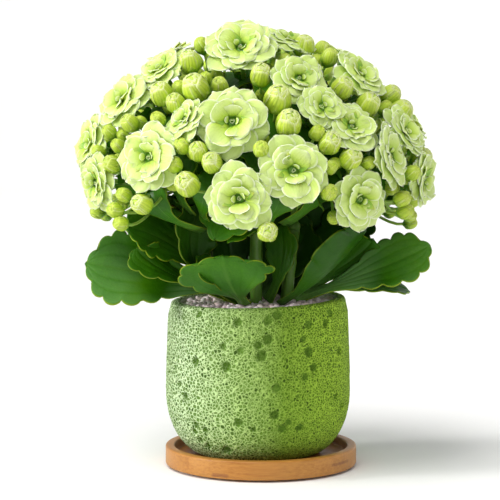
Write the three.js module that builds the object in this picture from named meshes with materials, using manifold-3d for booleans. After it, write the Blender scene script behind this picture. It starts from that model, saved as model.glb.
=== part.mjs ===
// Potted double-flowered kalanchoe in a foamed-concrete pot on a bamboo saucer.
// Millimetres, +Z up. The origin is the centre of the pad's underside, the front faces -Y,
// and a bearing is measured from the front towards +X, in degrees.
import * as THREE from "three";
import Module from "manifold-3d";
import { mergeVertices } from "three/addons/utils/BufferGeometryUtils.js";

const wasm = await Module();
wasm.setup();

// ---- Driving dimensions ----
const GAP = 0.3; // clearance between two pieces that touch

const PAD = { radius: 30, thickness: 0.6 };

const SAUCER = { radius: 38.4, height: 7.4, recessRadius: 34.8, recessDepth: 3.7, edge: 0.8 };
SAUCER.z = PAD.thickness + GAP;

const POT = {
  x: -1.2, // the pot stands a little left of the saucer's centre
  footRadius: 20,
  bellyRadius: 36.8,
  bellyZ: 30,
  bellyHeight: 8, // the straight stretch over the belly
  shoulderRadius: 35.9,
  shoulderDrop: 5, // the shoulder's distance under the rim
  rimRadius: 34.9,
  rimZ: 67.3,
  rimTilt: 0.03, // the hand-cast rim stands higher on the +X side
  rimRound: 1.2,
  mouthRadius: 31,
  lip: 0.6, // chamfer between the rim and the mouth
  wall: 4.9,
  insideRise: 3, // the inside is widest this much above the belly
  floor: 6,
  drainRadius: 5,
};
POT.z = SAUCER.z + SAUCER.height - SAUCER.recessDepth + GAP;

const GRAVEL = { depth: 5, top: 65.4, bump: 0.7 };

const CROWN = { centre: new THREE.Vector3(-2.5, 0, 112), radii: new THREE.Vector3(73, 68, 64) };

const BLOOM = {
  sink: 3, // how far the blooms' centres lie under the crown's outline
  back: 0.13, // depth of the cup behind the rim, as a share of the width
  rise: 0.06, // height of the outer petals' tips over the rim's root
  shoulder: 0.15,
  throat: 0.08,
  petals: 8,
  notch: 0.1,
};

const BUD = { sink: 5, stretch: 1.12, pedicel: 0.65 };

const STEM = { radius: 2.4, branchRadius: 1.05, rootZ: GRAVEL.top - 0.6 };

const LEAF = {
  thickness: 1.7,
  petiole: 5,
  taper: 2, // a higher number moves the widest part towards the tip
  fill: 0.8,
  blunt: 0.93, // 1 would bring the tip to a point
  lobes: 4,
  lobeDepth: 0.05,
  broad: 22, // a leaf wider than this bends across its width too
  clear: 0.35,
};

// ---- Stalks: where each stem leaves the gravel and forks, its open blooms and its buds ----
// bloom: bearing, elevation on the crown, width, bearing faced, elevation faced
// bud: bearing, elevation on the crown, width
const STALKS = [
  {
    root: [-2, -9], fork: [-2, -13, 100],
    blooms: [
      [-13, 69, 30.5, -5, 47], [-8, 28, 29, -4, 12], [12, 10, 28, 5, 8],
      [-5, 0, 27.5, -9, -4], [21, 47, 24, 22, 34],
    ],
    buds: [
      [3, 50, 8], [9, 38, 10], [12, 28, 9.5], [2, 18, 6], [-14, 13, 7.5], [-19, 17, 7], [4, -12, 7.5],
      [-22, 5, 9],
    ],
  },
  {
    root: [-12, -3], fork: [-22, -7, 88],
    blooms: [
      [-37, 14, 28, -33, 10], [-26, 29, 20, -52, 34], [-60, 52, 24, -50, 46], [-68, 36, 26, -50, 32],
      [-80, 17, 25, -64, 14], [-63, 3, 23, -52, -8],
    ],
    buds: [
      [-27, 43, 10], [-43, 40, 8.5], [-33, 36, 7], [-44, 58, 8], [-38, 29, 5.5], [-52, 27, 6.5],
      [-55, 11, 6.5], [-25, 19, 6], [-27, 12, 6], [-39, -3, 7.5], [-52, -6, 6], [-50, -11, 5.5],
      [-47, 0, 5.5], [-64, 23, 5], [-67, 15, 5], [-54, 18, 5],
    ],
  },
  {
    root: [10, -5], fork: [13, -9, 97],
    blooms: [
      [66, 49, 25, 48, 42], [36, 26, 24, 28, 38], [26, 34, 20, 22, 30], [35, -1, 25.5, 30, 0],
      [51, 14, 28, 66, 14], [67, 23, 23, 58, 28], [73, 4, 24, 66, -4], [88, 25, 23, 84, 26],
    ],
    buds: [
      [22, 24, 5.5], [26, 20, 8], [33, 14, 8], [40, 12, 5], [25, 11, 5], [42, 43, 8], [51, 35, 8.5],
      [86, 38, 8], [80, 31, 8.5], [80, 12, 7.5], [64, 7, 6], [56, -2, 6], [59, -7, 6], [24, 2, 6],
    ],
  },
  {
    root: [-8, 9], fork: [-15, 19, 95],
    blooms: [
      [-96, 60, 23, -96, 60], [-124, 32, 26, -124, 30], [-158, 9, 27, -158, 6], [-110, 5, 24, -110, 4],
      [176, 36, 27, 176, 34],
    ],
    buds: [
      [-89, 72, 6], [-140, 52, 9], [-100, 36, 7], [-142, 22, 8], [-134, 8, 7], [-168, 24, 7],
      [-150, 38, 6], [-122, -8, 6], [-104, 22, 6],
    ],
  },
  {
    root: [8, 9], fork: [15, 19, 96],
    blooms: [
      [58, 76, 21, 50, 66], [108, 56, 24, 108, 54], [168, 64, 26, 168, 62], [130, 30, 27, 130, 28],
      [156, 8, 27, 156, 6], [114, 3, 25, 114, 2],
    ],
    buds: [
      [60, 71, 8], [85, 67, 6.5], [62, 61, 6.5], [140, 50, 9], [112, 32, 8], [150, 28, 7],
      [134, 8, 7], [176, 16, 7], [176, -4, 7], [100, 14, 6], [132, -10, 6],
    ],
  },
];

// ---- Leaves: centre line through root, knee and tip, width, the way the upper face looks, fold ----
const LEAVES = [
  [[-6, -19, 67.5], [-12, -29, 77], [-15, -36, 87], 38, [0, 0.45, 0.85], 0.14],
  [[-8, -5, 69], [-42, -12, 79], [-69, -13, 85], 34, [-0.1, -0.8, 0.6], 0.12],
  [[-11, -9, 71], [-37, -16, 91], [-53, -20, 97], 29, [-0.1, -0.55, 0.85], 0.1],
  [[-12, -11, 68], [-38, -24, 81], [-48, -26, 90], 16, [-0.6, -0.1, 0.8], 0.2],
  [[-9, -14, 68], [-27, -21, 86], [-22, -15, 110], 24, [0.75, -0.6, 0.2], 0.4],
  [[-3, -17, 95], [-10, -27, 104], [-18, -33, 94], 21, [-0.1, -0.75, 0.6], 0.1],
  [[1, -20, 94], [-6, -28, 97], [-13, -35, 93], 8, [0, -0.6, 0.8], 0.15],
  [[-7, -17, 68], [-18, -24, 77], [-25, -28, 87], 14, [0.4, -0.5, 0.75], 0.2],
  [[3, -15, 68], [8, -20, 83], [8, -17, 98], 15, [-0.6, -0.75, 0.2], 0.25],
  [[8, -18, 67.5], [25, -27, 81], [40, -26, 97], 30, [-0.35, 0.1, 0.93], 0.6],
  [[13, -7, 69], [35, -9, 83], [44, -12, 92], 16, [0.1, -0.8, 0.5], 0.1],
  [[14, -9, 68], [44, -17, 80], [66, -18, 90], 27, [0.1, -0.7, 0.7], 0.12],
  [[13, -2, 68], [42, -3, 73], [59, -2, 70], 20, [0, -0.25, 0.95], 0.1],
  [[15, 5, 68], [42, 20, 82], [60, 30, 82], 30, [0.2, 0.25, 0.95], 0.15],
  [[11, 14, 68], [24, 38, 80], [34, 58, 80], 31, [0.2, 0.4, 0.9], 0.15],
  [[-2, 14, 68], [-6, 40, 80], [-8, 63, 82], 32, [0, 0.45, 0.9], 0.15],
  [[-12, 11, 68], [-32, 30, 81], [-48, 45, 84], 31, [-0.3, 0.35, 0.9], 0.15],
  [[12, 22, 92], [20, 38, 100], [28, 46, 96], 19, [0.3, 0.6, 0.7], 0.15],
  [[-14, 22, 91], [-24, 36, 99], [-31, 44, 95], 19, [-0.3, 0.6, 0.7], 0.15],
];

// ---- Materials ----
const finish = (color, roughness) => new THREE.MeshStandardMaterial({ color, roughness, metalness: 0 });
const RUBBER = finish(0x24221f, 0.9);
const BAMBOO = finish(0xcf9a58, 0.5);
const CONCRETE = finish(0x9fc766, 0.9);
const SOIL = finish(0x3a2c20, 0.95);
const STONE = finish(0xb9aaa4, 0.8);
const GREEN_STEM = finish(0x6f9a2a, 0.55);
const GREEN_LEAF = finish(0x2f7412, 0.4);
const PETAL = finish(0xdcebb0, 0.6);

// ---- Solids ----
function solidFrom(geometry) {
  const bare = geometry.index ? geometry.toNonIndexed() : geometry.clone();
  bare.deleteAttribute("normal");
  bare.deleteAttribute("uv");
  const merged = mergeVertices(bare, 1e-3);
  const mesh = new wasm.Mesh({
    numProp: 3,
    vertProperties: merged.attributes.position.array,
    triVerts: new Uint32Array(merged.index.array),
  });
  mesh.merge();
  return new wasm.Manifold(mesh);
}

function geometryFrom(solid) {
  const mesh = solid.getMesh();
  const positions = new Float32Array(mesh.numVert * 3);
  for (let i = 0; i < mesh.numVert; i++) {
    const start = i * mesh.numProp;
    positions.set(mesh.vertProperties.subarray(start, start + 3), i * 3);
  }
  const geometry = new THREE.BufferGeometry();
  geometry.setAttribute("position", new THREE.BufferAttribute(positions, 3));
  geometry.setIndex(new THREE.BufferAttribute(new Uint32Array(mesh.triVerts), 1));
  geometry.computeVertexNormals();
  return geometry;
}

const joined = (solids) => solids.reduce((whole, piece) => whole.add(piece));
const cutBy = (solid, cutters) => cutters.reduce((rest, cutter) => rest.subtract(cutter), solid);

function largestBody(solid) {
  return solid.decompose().sort((a, b) => b.volume() - a.volume())[0];
}

// A lathe about Z from a list of [radius, z] points.
function turned(points, segments) {
  const profile = points.map(([radius, z]) => new THREE.Vector2(radius, z));
  return new THREE.LatheGeometry(profile, segments).rotateX(Math.PI / 2);
}

// A quarter ellipse from the foot outwards and up to the belly.
function bowlArc(footRadius, footZ, bellyRadius, bellyZ, steps) {
  return Array.from({ length: steps + 1 }, (_, i) => {
    const angle = (i / steps) * (Math.PI / 2);
    return [
      footRadius + (bellyRadius - footRadius) * Math.sin(angle),
      bellyZ - (bellyZ - footZ) * Math.cos(angle),
    ];
  });
}

// A tube with a polygon section along a curve.
function tube(curve, radius, sides, steps) {
  const section = new THREE.Shape(
    Array.from({ length: sides }, (_, i) => {
      const angle = (i / sides) * 2 * Math.PI;
      return new THREE.Vector2(radius * Math.cos(angle), radius * Math.sin(angle));
    }),
  );
  return solidFrom(new THREE.ExtrudeGeometry(section, { steps, bevelEnabled: false, extrudePath: curve }));
}

function direction(bearing, elevation) {
  const b = THREE.MathUtils.degToRad(bearing);
  const e = THREE.MathUtils.degToRad(elevation);
  return new THREE.Vector3(Math.sin(b) * Math.cos(e), -Math.cos(b) * Math.cos(e), Math.sin(e));
}

// A place under the crown's outline.
function onCrown(bearing, elevation, sink) {
  const radii = CROWN.radii.clone().subScalar(sink);
  return direction(bearing, elevation).multiply(radii).add(CROWN.centre);
}

// ---- Saucer, pot and what fills it ----
function padGeometry() {
  return turned([[0, 0], [PAD.radius, 0], [PAD.radius, PAD.thickness], [0, PAD.thickness]], 40);
}

function saucerGeometry() {
  const { radius, height, recessRadius, recessDepth, edge, z } = SAUCER;
  const floor = z + height - recessDepth;
  return turned(
    [
      [0, z], [radius - edge, z], [radius, z + edge], [radius, z + height - edge],
      [radius - edge, z + height], [recessRadius, z + height], [recessRadius, floor], [0, floor],
    ],
    56,
  );
}

function potGeometry() {
  const { footRadius, bellyRadius, bellyZ, shoulderRadius, rimRadius, rimZ, rimRound, mouthRadius, lip } = POT;
  const floorZ = POT.z + POT.floor;
  const outside = bowlArc(footRadius, POT.z, bellyRadius, bellyZ, 5);
  const insideZ = bellyZ + POT.insideRise;
  const inside = bowlArc(footRadius - POT.wall, floorZ, bellyRadius - POT.wall, insideZ, 4);
  const profile = [
    [POT.drainRadius, POT.z],
    ...outside,
    [bellyRadius, bellyZ + POT.bellyHeight],
    [shoulderRadius, rimZ - POT.shoulderDrop],
    [rimRadius, rimZ - rimRound],
    [rimRadius - rimRound, rimZ],
    [mouthRadius + lip, rimZ],
    [mouthRadius, rimZ - lip],
    ...inside.reverse(),
    [POT.drainRadius, floorZ],
    [POT.drainRadius, POT.z],
  ];
  const geometry = turned(profile, 36);
  const position = geometry.attributes.position;
  for (let i = 0; i < position.count; i++) {
    const height = Math.max(0, (position.getZ(i) - bellyZ) / (rimZ - bellyZ));
    position.setZ(i, position.getZ(i) + POT.rimTilt * height * position.getX(i));
  }
  return geometry.translate(POT.x, 0, 0);
}

function pottingMixGeometry() {
  const bottom = POT.z + POT.floor + GAP;
  const top = GRAVEL.top - GRAVEL.depth - GAP;
  const foot = footOfFilling();
  const widestZ = POT.bellyZ + POT.insideRise;
  const profile = bowlArc(foot, bottom, POT.bellyRadius - POT.wall - 2 * GAP, widestZ, 4);
  return turned([[0, bottom], ...profile, [POT.mouthRadius - GAP, top], [0, top]], 24).translate(POT.x, 0, 0);
}

function footOfFilling() {
  return POT.footRadius - POT.wall - 2 * GAP;
}

function gravelGeometry() {
  const radius = POT.mouthRadius - GAP;
  const rings = [[0, GRAVEL.top], [0.35, GRAVEL.top], [0.7, GRAVEL.top], [1, GRAVEL.top - 1]];
  const profile = [
    [0, GRAVEL.top - GRAVEL.depth], [radius, GRAVEL.top - GRAVEL.depth],
    ...rings.reverse().map(([share, z]) => [share * radius, z]),
  ];
  const geometry = turned(profile, 20);
  const position = geometry.attributes.position;
  for (let i = 0; i < position.count; i++) {
    if (position.getZ(i) < GRAVEL.top - GRAVEL.depth / 2) continue;
    const wave = Math.sin(position.getX(i) * 0.9) * Math.cos(position.getY(i) * 1.1);
    position.setZ(i, position.getZ(i) + GRAVEL.bump * wave);
  }
  return geometry.translate(POT.x, 0, 0);
}

// ---- Blooms ----
// A scalloped shallow cup on its own axis, +Z out of the throat.
function bloomGeometry(width, grow) {
  const outer = width / 2;
  const segments = BLOOM.petals * 2;
  const geometry = turned(
    [
      [0, -BLOOM.back * width - grow], [outer, BLOOM.rise * width],
      [outer * 0.72, BLOOM.shoulder * width + grow], [0, BLOOM.throat * width + grow],
    ],
    segments,
  );
  const position = geometry.attributes.position;
  for (let i = 0; i < position.count; i++) {
    const x = position.getX(i);
    const y = position.getY(i);
    const scallop = 1 - BLOOM.notch * (0.5 - 0.5 * Math.cos(Math.atan2(y, x) * BLOOM.petals));
    const spread = (Math.hypot(x, y) > outer * 0.9 ? scallop : 1) * (1 + (2 * grow) / width);
    position.setXY(i, x * spread, y * spread);
  }
  return geometry;
}

function bloomSolid({ centre, facing, width }, grow = 0) {
  const turn = new THREE.Quaternion().setFromUnitVectors(new THREE.Vector3(0, 0, 1), facing);
  const place = new THREE.Matrix4().compose(centre, turn, new THREE.Vector3(1, 1, 1));
  return solidFrom(bloomGeometry(width, grow).applyMatrix4(place));
}

function bloomsOf(stalk) {
  return stalk.blooms.map(([bearing, elevation, width, facedBearing, facedElevation]) => {
    const facing = direction(facedBearing, facedElevation);
    const centre = onCrown(bearing, elevation, BLOOM.sink);
    const back = centre.clone().addScaledVector(facing, -BLOOM.back * width);
    return { centre, facing, width, back };
  });
}

// ---- Stalks with their buds ----
function branchCurve(fork, end, outward) {
  const reach = fork.distanceTo(end);
  const rising = fork.clone().add(new THREE.Vector3(0, 0, 0.3 * reach));
  const arriving = end.clone().addScaledVector(outward, -0.35 * reach);
  return new THREE.CubicBezierCurve3(fork, rising, arriving, end);
}

function budSolid(centre, outward, width, grow) {
  const radius = width / 2 + grow;
  const turn = new THREE.Quaternion().setFromUnitVectors(new THREE.Vector3(0, 1, 0), outward);
  const place = new THREE.Matrix4().compose(centre, turn, new THREE.Vector3(1, BUD.stretch, 1));
  return solidFrom(new THREE.SphereGeometry(radius, 6, 3).applyMatrix4(place));
}

function stalkSolid(stalk, blooms, grow = 0) {
  const root = new THREE.Vector3(...stalk.root, STEM.rootZ);
  const fork = new THREE.Vector3(...stalk.fork);
  const middle = root.clone().lerp(fork, 0.5);
  middle.x = root.x + (fork.x - root.x) * 0.35;
  const stem = new THREE.QuadraticBezierCurve3(root, middle, fork);
  const pieces = [tube(stem, STEM.radius + grow, 6, 3)];
  pieces.push(solidFrom(new THREE.SphereGeometry(STEM.radius + grow, 6, 4).translate(...fork)));
  const branches = blooms.map((bloom) => branchCurve(fork, bloom.back, bloom.facing));
  branches.forEach((branch) => pieces.push(tube(branch, STEM.branchRadius + grow, 4, 3)));
  stalk.buds.forEach(([bearing, elevation, width], k) => {
    const centre = onCrown(bearing, elevation, BUD.sink);
    const outward = direction(bearing, elevation * 0.7 + 20);
    const nearest = branches.reduce((best, branch) =>
      branch.v3.distanceTo(centre) < best.v3.distanceTo(centre) ? branch : best,
    );
    const pedicel = new THREE.LineCurve3(nearest.getPoint(0.42 + 0.06 * (k % 5)), centre);
    pieces.push(tube(pedicel, BUD.pedicel + grow, 3, 1));
    pieces.push(budSolid(centre, outward, width, grow));
  });
  return joined(pieces);
}

// ---- Leaves ----
// Half the blade's width at a share of its length: a petiole, a spoon, scallops round the end.
function halfWidth(share, width, petiole) {
  const spoon = Math.pow(Math.sin(Math.PI * LEAF.blunt * Math.pow(share, LEAF.taper)), LEAF.fill);
  const blade = (width / 2) * spoon;
  const scallop = 1 + LEAF.lobeDepth * Math.cos(share * LEAF.lobes * 2 * Math.PI);
  const stalk = (petiole / 2) * (1 - share);
  return Math.max(blade * scallop, stalk, 1.2);
}

function leafSolid([root, knee, tip, width, face, fold], grow = 0) {
  const along = 8;
  const across = width > LEAF.broad ? 4 : 2;
  const line = new THREE.CatmullRomCurve3([root, knee, tip].map((p) => new THREE.Vector3(...p)));
  const faceWay = new THREE.Vector3(...face).normalize();
  const geometry = new THREE.BoxGeometry(1, 1, 1, along, across, 1);
  const position = geometry.attributes.position;
  for (let i = 0; i < position.count; i++) {
    const share = position.getX(i) + 0.5;
    const side = position.getY(i) * 2;
    const centre = line.getPoint(share);
    const tangent = line.getTangent(share);
    const sideWay = new THREE.Vector3().crossVectors(faceWay, tangent).normalize();
    const normal = new THREE.Vector3().crossVectors(tangent, sideWay);
    const half = halfWidth(share, width, Math.min(LEAF.petiole, width / 2)) + grow;
    const thickness = LEAF.thickness * (1 - 0.45 * side * side) + 2 * grow;
    const raise = fold * half * side * side + position.getZ(i) * thickness;
    const end = share === 0 ? -grow : share === 1 ? grow : 0;
    centre.addScaledVector(sideWay, side * half).addScaledVector(normal, raise);
    centre.addScaledVector(tangent, end);
    position.setXYZ(i, centre.x, centre.y, centre.z);
  }
  return solidFrom(geometry);
}

// ---- Assembly ----
const plant = new THREE.Group();

function addPiece(name, geometry, material) {
  const mesh = new THREE.Mesh(geometry, material);
  mesh.name = name;
  plant.add(mesh);
}

addPiece("non_slip_pad", padGeometry(), RUBBER);
addPiece("saucer", saucerGeometry(), BAMBOO);
addPiece("pot", potGeometry(), CONCRETE);
addPiece("potting_mix", pottingMixGeometry(), SOIL);
addPiece("gravel_top", gravelGeometry(), STONE);

const number = (i) => String(i + 1).padStart(2, "0");
const bloomsByStalk = STALKS.map(bloomsOf);
const allBlooms = bloomsByStalk.flat();
const bloomCutters = allBlooms.map((bloom) => bloomSolid(bloom, GAP));
allBlooms.forEach((bloom, i) => {
  const solid = largestBody(cutBy(bloomSolid(bloom), bloomCutters.slice(0, i)));
  addPiece("bloom_" + number(i), geometryFrom(solid), PETAL);
});

const gravelCutter = solidFrom(gravelGeometry().translate(0, 0, GAP));
const stalkCutters = STALKS.map((stalk, i) => stalkSolid(stalk, bloomsByStalk[i], GAP));
STALKS.forEach((stalk, i) => {
  const cutters = [gravelCutter, ...bloomCutters, ...stalkCutters.slice(0, i)];
  const solid = largestBody(cutBy(stalkSolid(stalk, bloomsByStalk[i]), cutters));
  addPiece("stalk_" + number(i), geometryFrom(solid), GREEN_STEM);
});

const leafCutters = LEAVES.map((leaf) => leafSolid(leaf, LEAF.clear));
LEAVES.forEach((leaf, i) => {
  const cutters = [gravelCutter, ...stalkCutters, ...bloomCutters, ...leafCutters.slice(0, i)];
  addPiece("leaf_" + number(i), geometryFrom(largestBody(cutBy(leafSolid(leaf), cutters))), GREEN_LEAF);
});

export default plant;
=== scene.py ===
import math

import bmesh
import bpy
import numpy as np
from mathutils import Matrix, Vector, noise


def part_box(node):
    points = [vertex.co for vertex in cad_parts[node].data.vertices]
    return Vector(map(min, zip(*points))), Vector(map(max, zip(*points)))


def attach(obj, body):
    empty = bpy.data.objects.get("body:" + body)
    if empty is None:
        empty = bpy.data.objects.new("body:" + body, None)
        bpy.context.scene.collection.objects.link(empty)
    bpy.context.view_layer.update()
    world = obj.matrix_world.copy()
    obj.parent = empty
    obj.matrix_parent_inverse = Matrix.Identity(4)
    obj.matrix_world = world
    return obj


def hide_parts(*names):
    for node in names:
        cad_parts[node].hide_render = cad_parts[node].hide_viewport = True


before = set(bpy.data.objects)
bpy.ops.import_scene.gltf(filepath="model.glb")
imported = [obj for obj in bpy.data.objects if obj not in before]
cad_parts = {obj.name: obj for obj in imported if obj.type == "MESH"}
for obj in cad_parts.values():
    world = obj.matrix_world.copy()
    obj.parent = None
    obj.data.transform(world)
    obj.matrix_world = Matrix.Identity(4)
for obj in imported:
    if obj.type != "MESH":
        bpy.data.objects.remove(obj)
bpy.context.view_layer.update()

MM = 0.001
TURN = 2 * math.pi


# ---------------------------------------------------------------- Non-slip pad
# A thin disc of dark rubber glued under the saucer, which keeps it from sliding and shows only as
# a dark line at the table. It is cut from sheet, so its faces are plain with a fine grain.

def material(name, color, roughness, **sockets):
    """A Principled material with these socket values, its node tree and its shader."""
    made = bpy.data.materials.new(name)
    made.use_nodes = True
    shader = made.node_tree.nodes["Principled BSDF"]
    shader.inputs["Base Color"].default_value = (*color, 1)
    shader.inputs["Roughness"].default_value = roughness
    for label, value in sockets.items():
        shader.inputs[label.replace("_", " ")].default_value = value
    return made, made.node_tree, shader


def node(tree, kind, inputs=(), **settings):
    """Adds a node. Each input is a value or the socket that feeds it."""
    made = tree.nodes.new("ShaderNode" + kind)
    for label, value in settings.items():
        setattr(made, label, value)
    for label, value in dict(inputs).items():
        if isinstance(value, bpy.types.NodeSocket):
            tree.links.new(value, made.inputs[label])
        else:
            made.inputs[label].default_value = value
    return made


def math_node(tree, operation, a, b=0.0):
    return node(tree, "Math", {0: a, 1: b}, operation=operation).outputs[0]


def times(tree, a, b):
    return math_node(tree, "MULTIPLY", a, b)


def blend(tree, share, a, b, mode="MIX"):
    """Mixes two colours. A colour is a socket or three numbers."""
    a, b = (color if isinstance(color, bpy.types.NodeSocket) else (*color, 1) for color in (a, b))
    return node(tree, "Mix", {0: share, 6: a, 7: b}, data_type="RGBA", blend_type=mode).outputs[2]


def ramp(tree, value, stops):
    """A colour ramp through (position, colour) stops."""
    made = node(tree, "ValToRGB", {"Fac": value})
    elements = made.color_ramp.elements
    while len(elements) < len(stops):
        elements.new(0.5)
    for element, (position, color) in zip(elements, stops):
        element.position = position
        element.color = (*color, 1)
    return made.outputs["Color"]


def between(tree, value, low, high, to_low=0.0, to_high=1.0):
    """Maps low..high onto to_low..to_high, with the ends held."""
    inputs = {"Value": value, "From Min": low, "From Max": high, "To Min": to_low, "To Max": to_high}
    return node(tree, "MapRange", inputs).outputs["Result"]


def bump(tree, shader, height, distance, strength=1.0):
    made = node(tree, "Bump", {"Height": height, "Distance": distance, "Strength": strength})
    tree.links.new(made.outputs["Normal"], shader.inputs["Normal"])


def place(tree):
    """The place on the object, in metres."""
    return node(tree, "TexCoord").outputs["Object"]


def shader_group(name, inputs, outputs):
    """An empty node group with named sockets, its input node and its output node."""
    tree = bpy.data.node_groups.new(name, "ShaderNodeTree")
    for label, kind, default in inputs:
        socket = tree.interface.new_socket(label, in_out="INPUT", socket_type="NodeSocket" + kind)
        if default is not None:
            socket.default_value = default
    for label, kind in outputs:
        tree.interface.new_socket(label, in_out="OUTPUT", socket_type="NodeSocket" + kind)
    return tree, tree.nodes.new("NodeGroupInput"), tree.nodes.new("NodeGroupOutput")


# Uneven tone, for every surface that is not one even colour: broad clouds with finer specks on them.
MOTTLE, mottle_in, mottle_out = shader_group(
    "Mottle",
    [("Vector", "Vector", None), ("Cloud Scale", "Float", 60.0), ("Speck Scale", "Float", 900.0),
     ("Speck Share", "Float", 0.3)],
    [("Tone", "Float")],
)
spot, cloud_scale, speck_scale, speck_share = list(mottle_in.outputs)[:4]
clouds = node(MOTTLE, "TexNoise", {"Vector": spot, "Scale": cloud_scale, "Detail": 3}).outputs["Fac"]
specks = node(MOTTLE, "TexNoise", {"Vector": spot, "Scale": speck_scale, "Detail": 2}).outputs["Fac"]
tone = node(MOTTLE, "Mix", {0: speck_share, 2: clouds, 3: specks}, data_type="FLOAT")
MOTTLE.links.new(tone.outputs[0], mottle_out.inputs[0])


def mottle(tree, cloud_scale, speck_scale, speck_share):
    """Uneven tone between about 0.3 and 0.7, with scales in features per metre."""
    inputs = {"Vector": place(tree), "Cloud Scale": cloud_scale, "Speck Scale": speck_scale,
              "Speck Share": speck_share}
    return node(tree, "Group", inputs, node_tree=MOTTLE).outputs["Tone"]


rubber, tree, shader = material("rubber", (0.02, 0.018, 0.016), 0.85)
tone = mottle(tree, 80, 2500, 0.5)
tree.links.new(ramp(tree, tone, [(0.3, (0.012, 0.011, 0.01)), (0.7, (0.04, 0.037, 0.033))]),
               shader.inputs["Base Color"])
bump(tree, shader, tone, 0.1 * MM)
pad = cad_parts["non_slip_pad"]
pad.data.materials.clear()
pad.data.materials.append(rubber)


# ---------------------------------------------------------------- Saucer
# A round tray turned from laminated bamboo board: flat rim, shallow recess for the pot, eased
# edges and a thin oil finish. The board's strips run along X and show their nodes as dark bars.

EASING_STEPS = 5


def softened(corners):
    """A profile from (radius, z, easing) corners, each corner rounded over by its easing."""
    flat = [Vector(corner[:2]) for corner in corners]
    outline = []
    for i, (corner, spec) in enumerate(zip(flat, corners)):
        if spec[2] == 0:
            outline.append(corner)
            continue
        entry = corner + (flat[i - 1] - corner).normalized() * spec[2]
        leaving = corner + (flat[i + 1] - corner).normalized() * spec[2]
        for t in np.linspace(0, 1, EASING_STEPS + 1):
            outline.append(entry * (1 - t) ** 2 + corner * 2 * t * (1 - t) + leaving * t ** 2)
    return np.array([tuple(p) for p in outline])


def turned(profile, segments, centre=(0, 0)):
    """Points and faces of a lathe about Z. The profile starts and ends on the axis."""
    angles = np.arange(segments) * TURN / segments
    ring = profile[1:-1]
    rows = np.stack(
        [centre[0] + np.outer(ring[:, 0], np.cos(angles)), centre[1] + np.outer(ring[:, 0], np.sin(angles)),
         np.repeat(ring[:, 1:2], segments, axis=1)], axis=-1,
    )
    points = [(*centre, profile[0, 1])] + rows.reshape(-1, 3).tolist() + [(*centre, profile[-1, 1])]
    last = len(points) - 1
    faces = []
    for j in range(segments):
        k = (j + 1) % segments
        faces.append((0, 1 + k, 1 + j))
        faces.append((last, last - segments + j, last - segments + k))
        for i in range(len(ring) - 1):
            a = 1 + i * segments
            faces.append((a + j, a + k, a + segments + k, a + segments + j))
    return points, faces


def shown(name, points, faces, finish, marks=None):
    """A smooth mesh object with one material, and values for it in the point attribute "marks"."""
    mesh = bpy.data.meshes.new(name)
    mesh.from_pydata(points, [], faces)
    mesh.update()
    if marks is not None:
        attribute = mesh.attributes.new("marks", "FLOAT_COLOR", "POINT")
        attribute.data.foreach_set("color", np.asarray(marks, dtype=np.float32).ravel())
    mesh.shade_smooth()
    mesh.materials.append(finish)
    made = bpy.data.objects.new(name, mesh)
    bpy.context.scene.collection.objects.link(made)
    return made


saucer_low, saucer_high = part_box("saucer")
SAUCER_RADIUS = (saucer_high.x - saucer_low.x) / 2
RECESS_RADIUS = 34.8 * MM
RECESS_DEPTH = 3.7 * MM
EASED = 0.9 * MM
recess_z = saucer_high.z - RECESS_DEPTH
saucer_profile = softened([
    (0, saucer_low.z, 0),
    (SAUCER_RADIUS, saucer_low.z, 0.7 * EASED),
    (SAUCER_RADIUS, saucer_high.z, EASED),
    (RECESS_RADIUS, saucer_high.z, 0.7 * EASED),
    (RECESS_RADIUS - 0.4 * MM, recess_z, 0.8 * EASED),
    (0, recess_z, 0),
])

LAYER = 2.45 * MM  # thickness of one layer of the board
STRIP = 6.5 * MM  # width of one strip

# Dark bars where a cane's node was cut: X, side of the tray in Y, height, half length, half height.
NODE_BARS = [
    (-16.0, -1, 2.3, 3.2, 0.75), (31.0, -1, 4.6, 3.6, 0.6),
    (24.0, 1, 3.4, 3.0, 0.7), (-8.0, 1, 6.0, 3.4, 0.6),
]



def off_line(tree, value, line):
    """How far a value is from a line, either way."""
    return math_node(tree, "ABSOLUTE", math_node(tree, "SUBTRACT", value, line))


bamboo, tree, shader = material("oiled_bamboo", (0.5, 0.26, 0.08), 0.42, Coat_Weight=0.06,
                                Specular_IOR_Level=0.4)
where = node(tree, "SeparateXYZ", {"Vector": place(tree)})
layer = math_node(tree, "FLOOR", math_node(tree, "DIVIDE", where.outputs["Z"], LAYER))
strip = math_node(tree, "FLOOR", math_node(tree, "DIVIDE", where.outputs["Y"], STRIP))
strip_id = node(tree, "CombineXYZ", {"X": layer, "Y": strip}).outputs[0]
strip_tone = node(tree, "TexWhiteNoise", {"Vector": strip_id}, noise_dimensions="3D").outputs["Value"]
FIBRE_STRETCH = (1.0, 16.0, 22.0)  # the fibres run along X
stretched = node(tree, "Mapping", {"Vector": place(tree), "Scale": FIBRE_STRETCH}).outputs[0]
fibres = node(tree, "TexNoise", {"Vector": stretched, "Scale": 55, "Detail": 5, "Roughness": 0.7})
fibres = fibres.outputs["Fac"]
board = ramp(tree, strip_tone, [(0.0, (0.41, 0.172, 0.026)), (1.0, (0.48, 0.215, 0.040))])
grained = blend(tree, between(tree, fibres, 0.32, 0.62), (0.70, 0.56, 0.42), (1.0, 1.0, 1.0))
board = blend(tree, 1.0, board, grained, "MULTIPLY")
tone = mottle(tree, 30, 260, 0.3)
board = blend(tree, between(tree, tone, 0.35, 0.7, 0.0, 0.45), board, (0.54, 0.26, 0.055))
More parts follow.
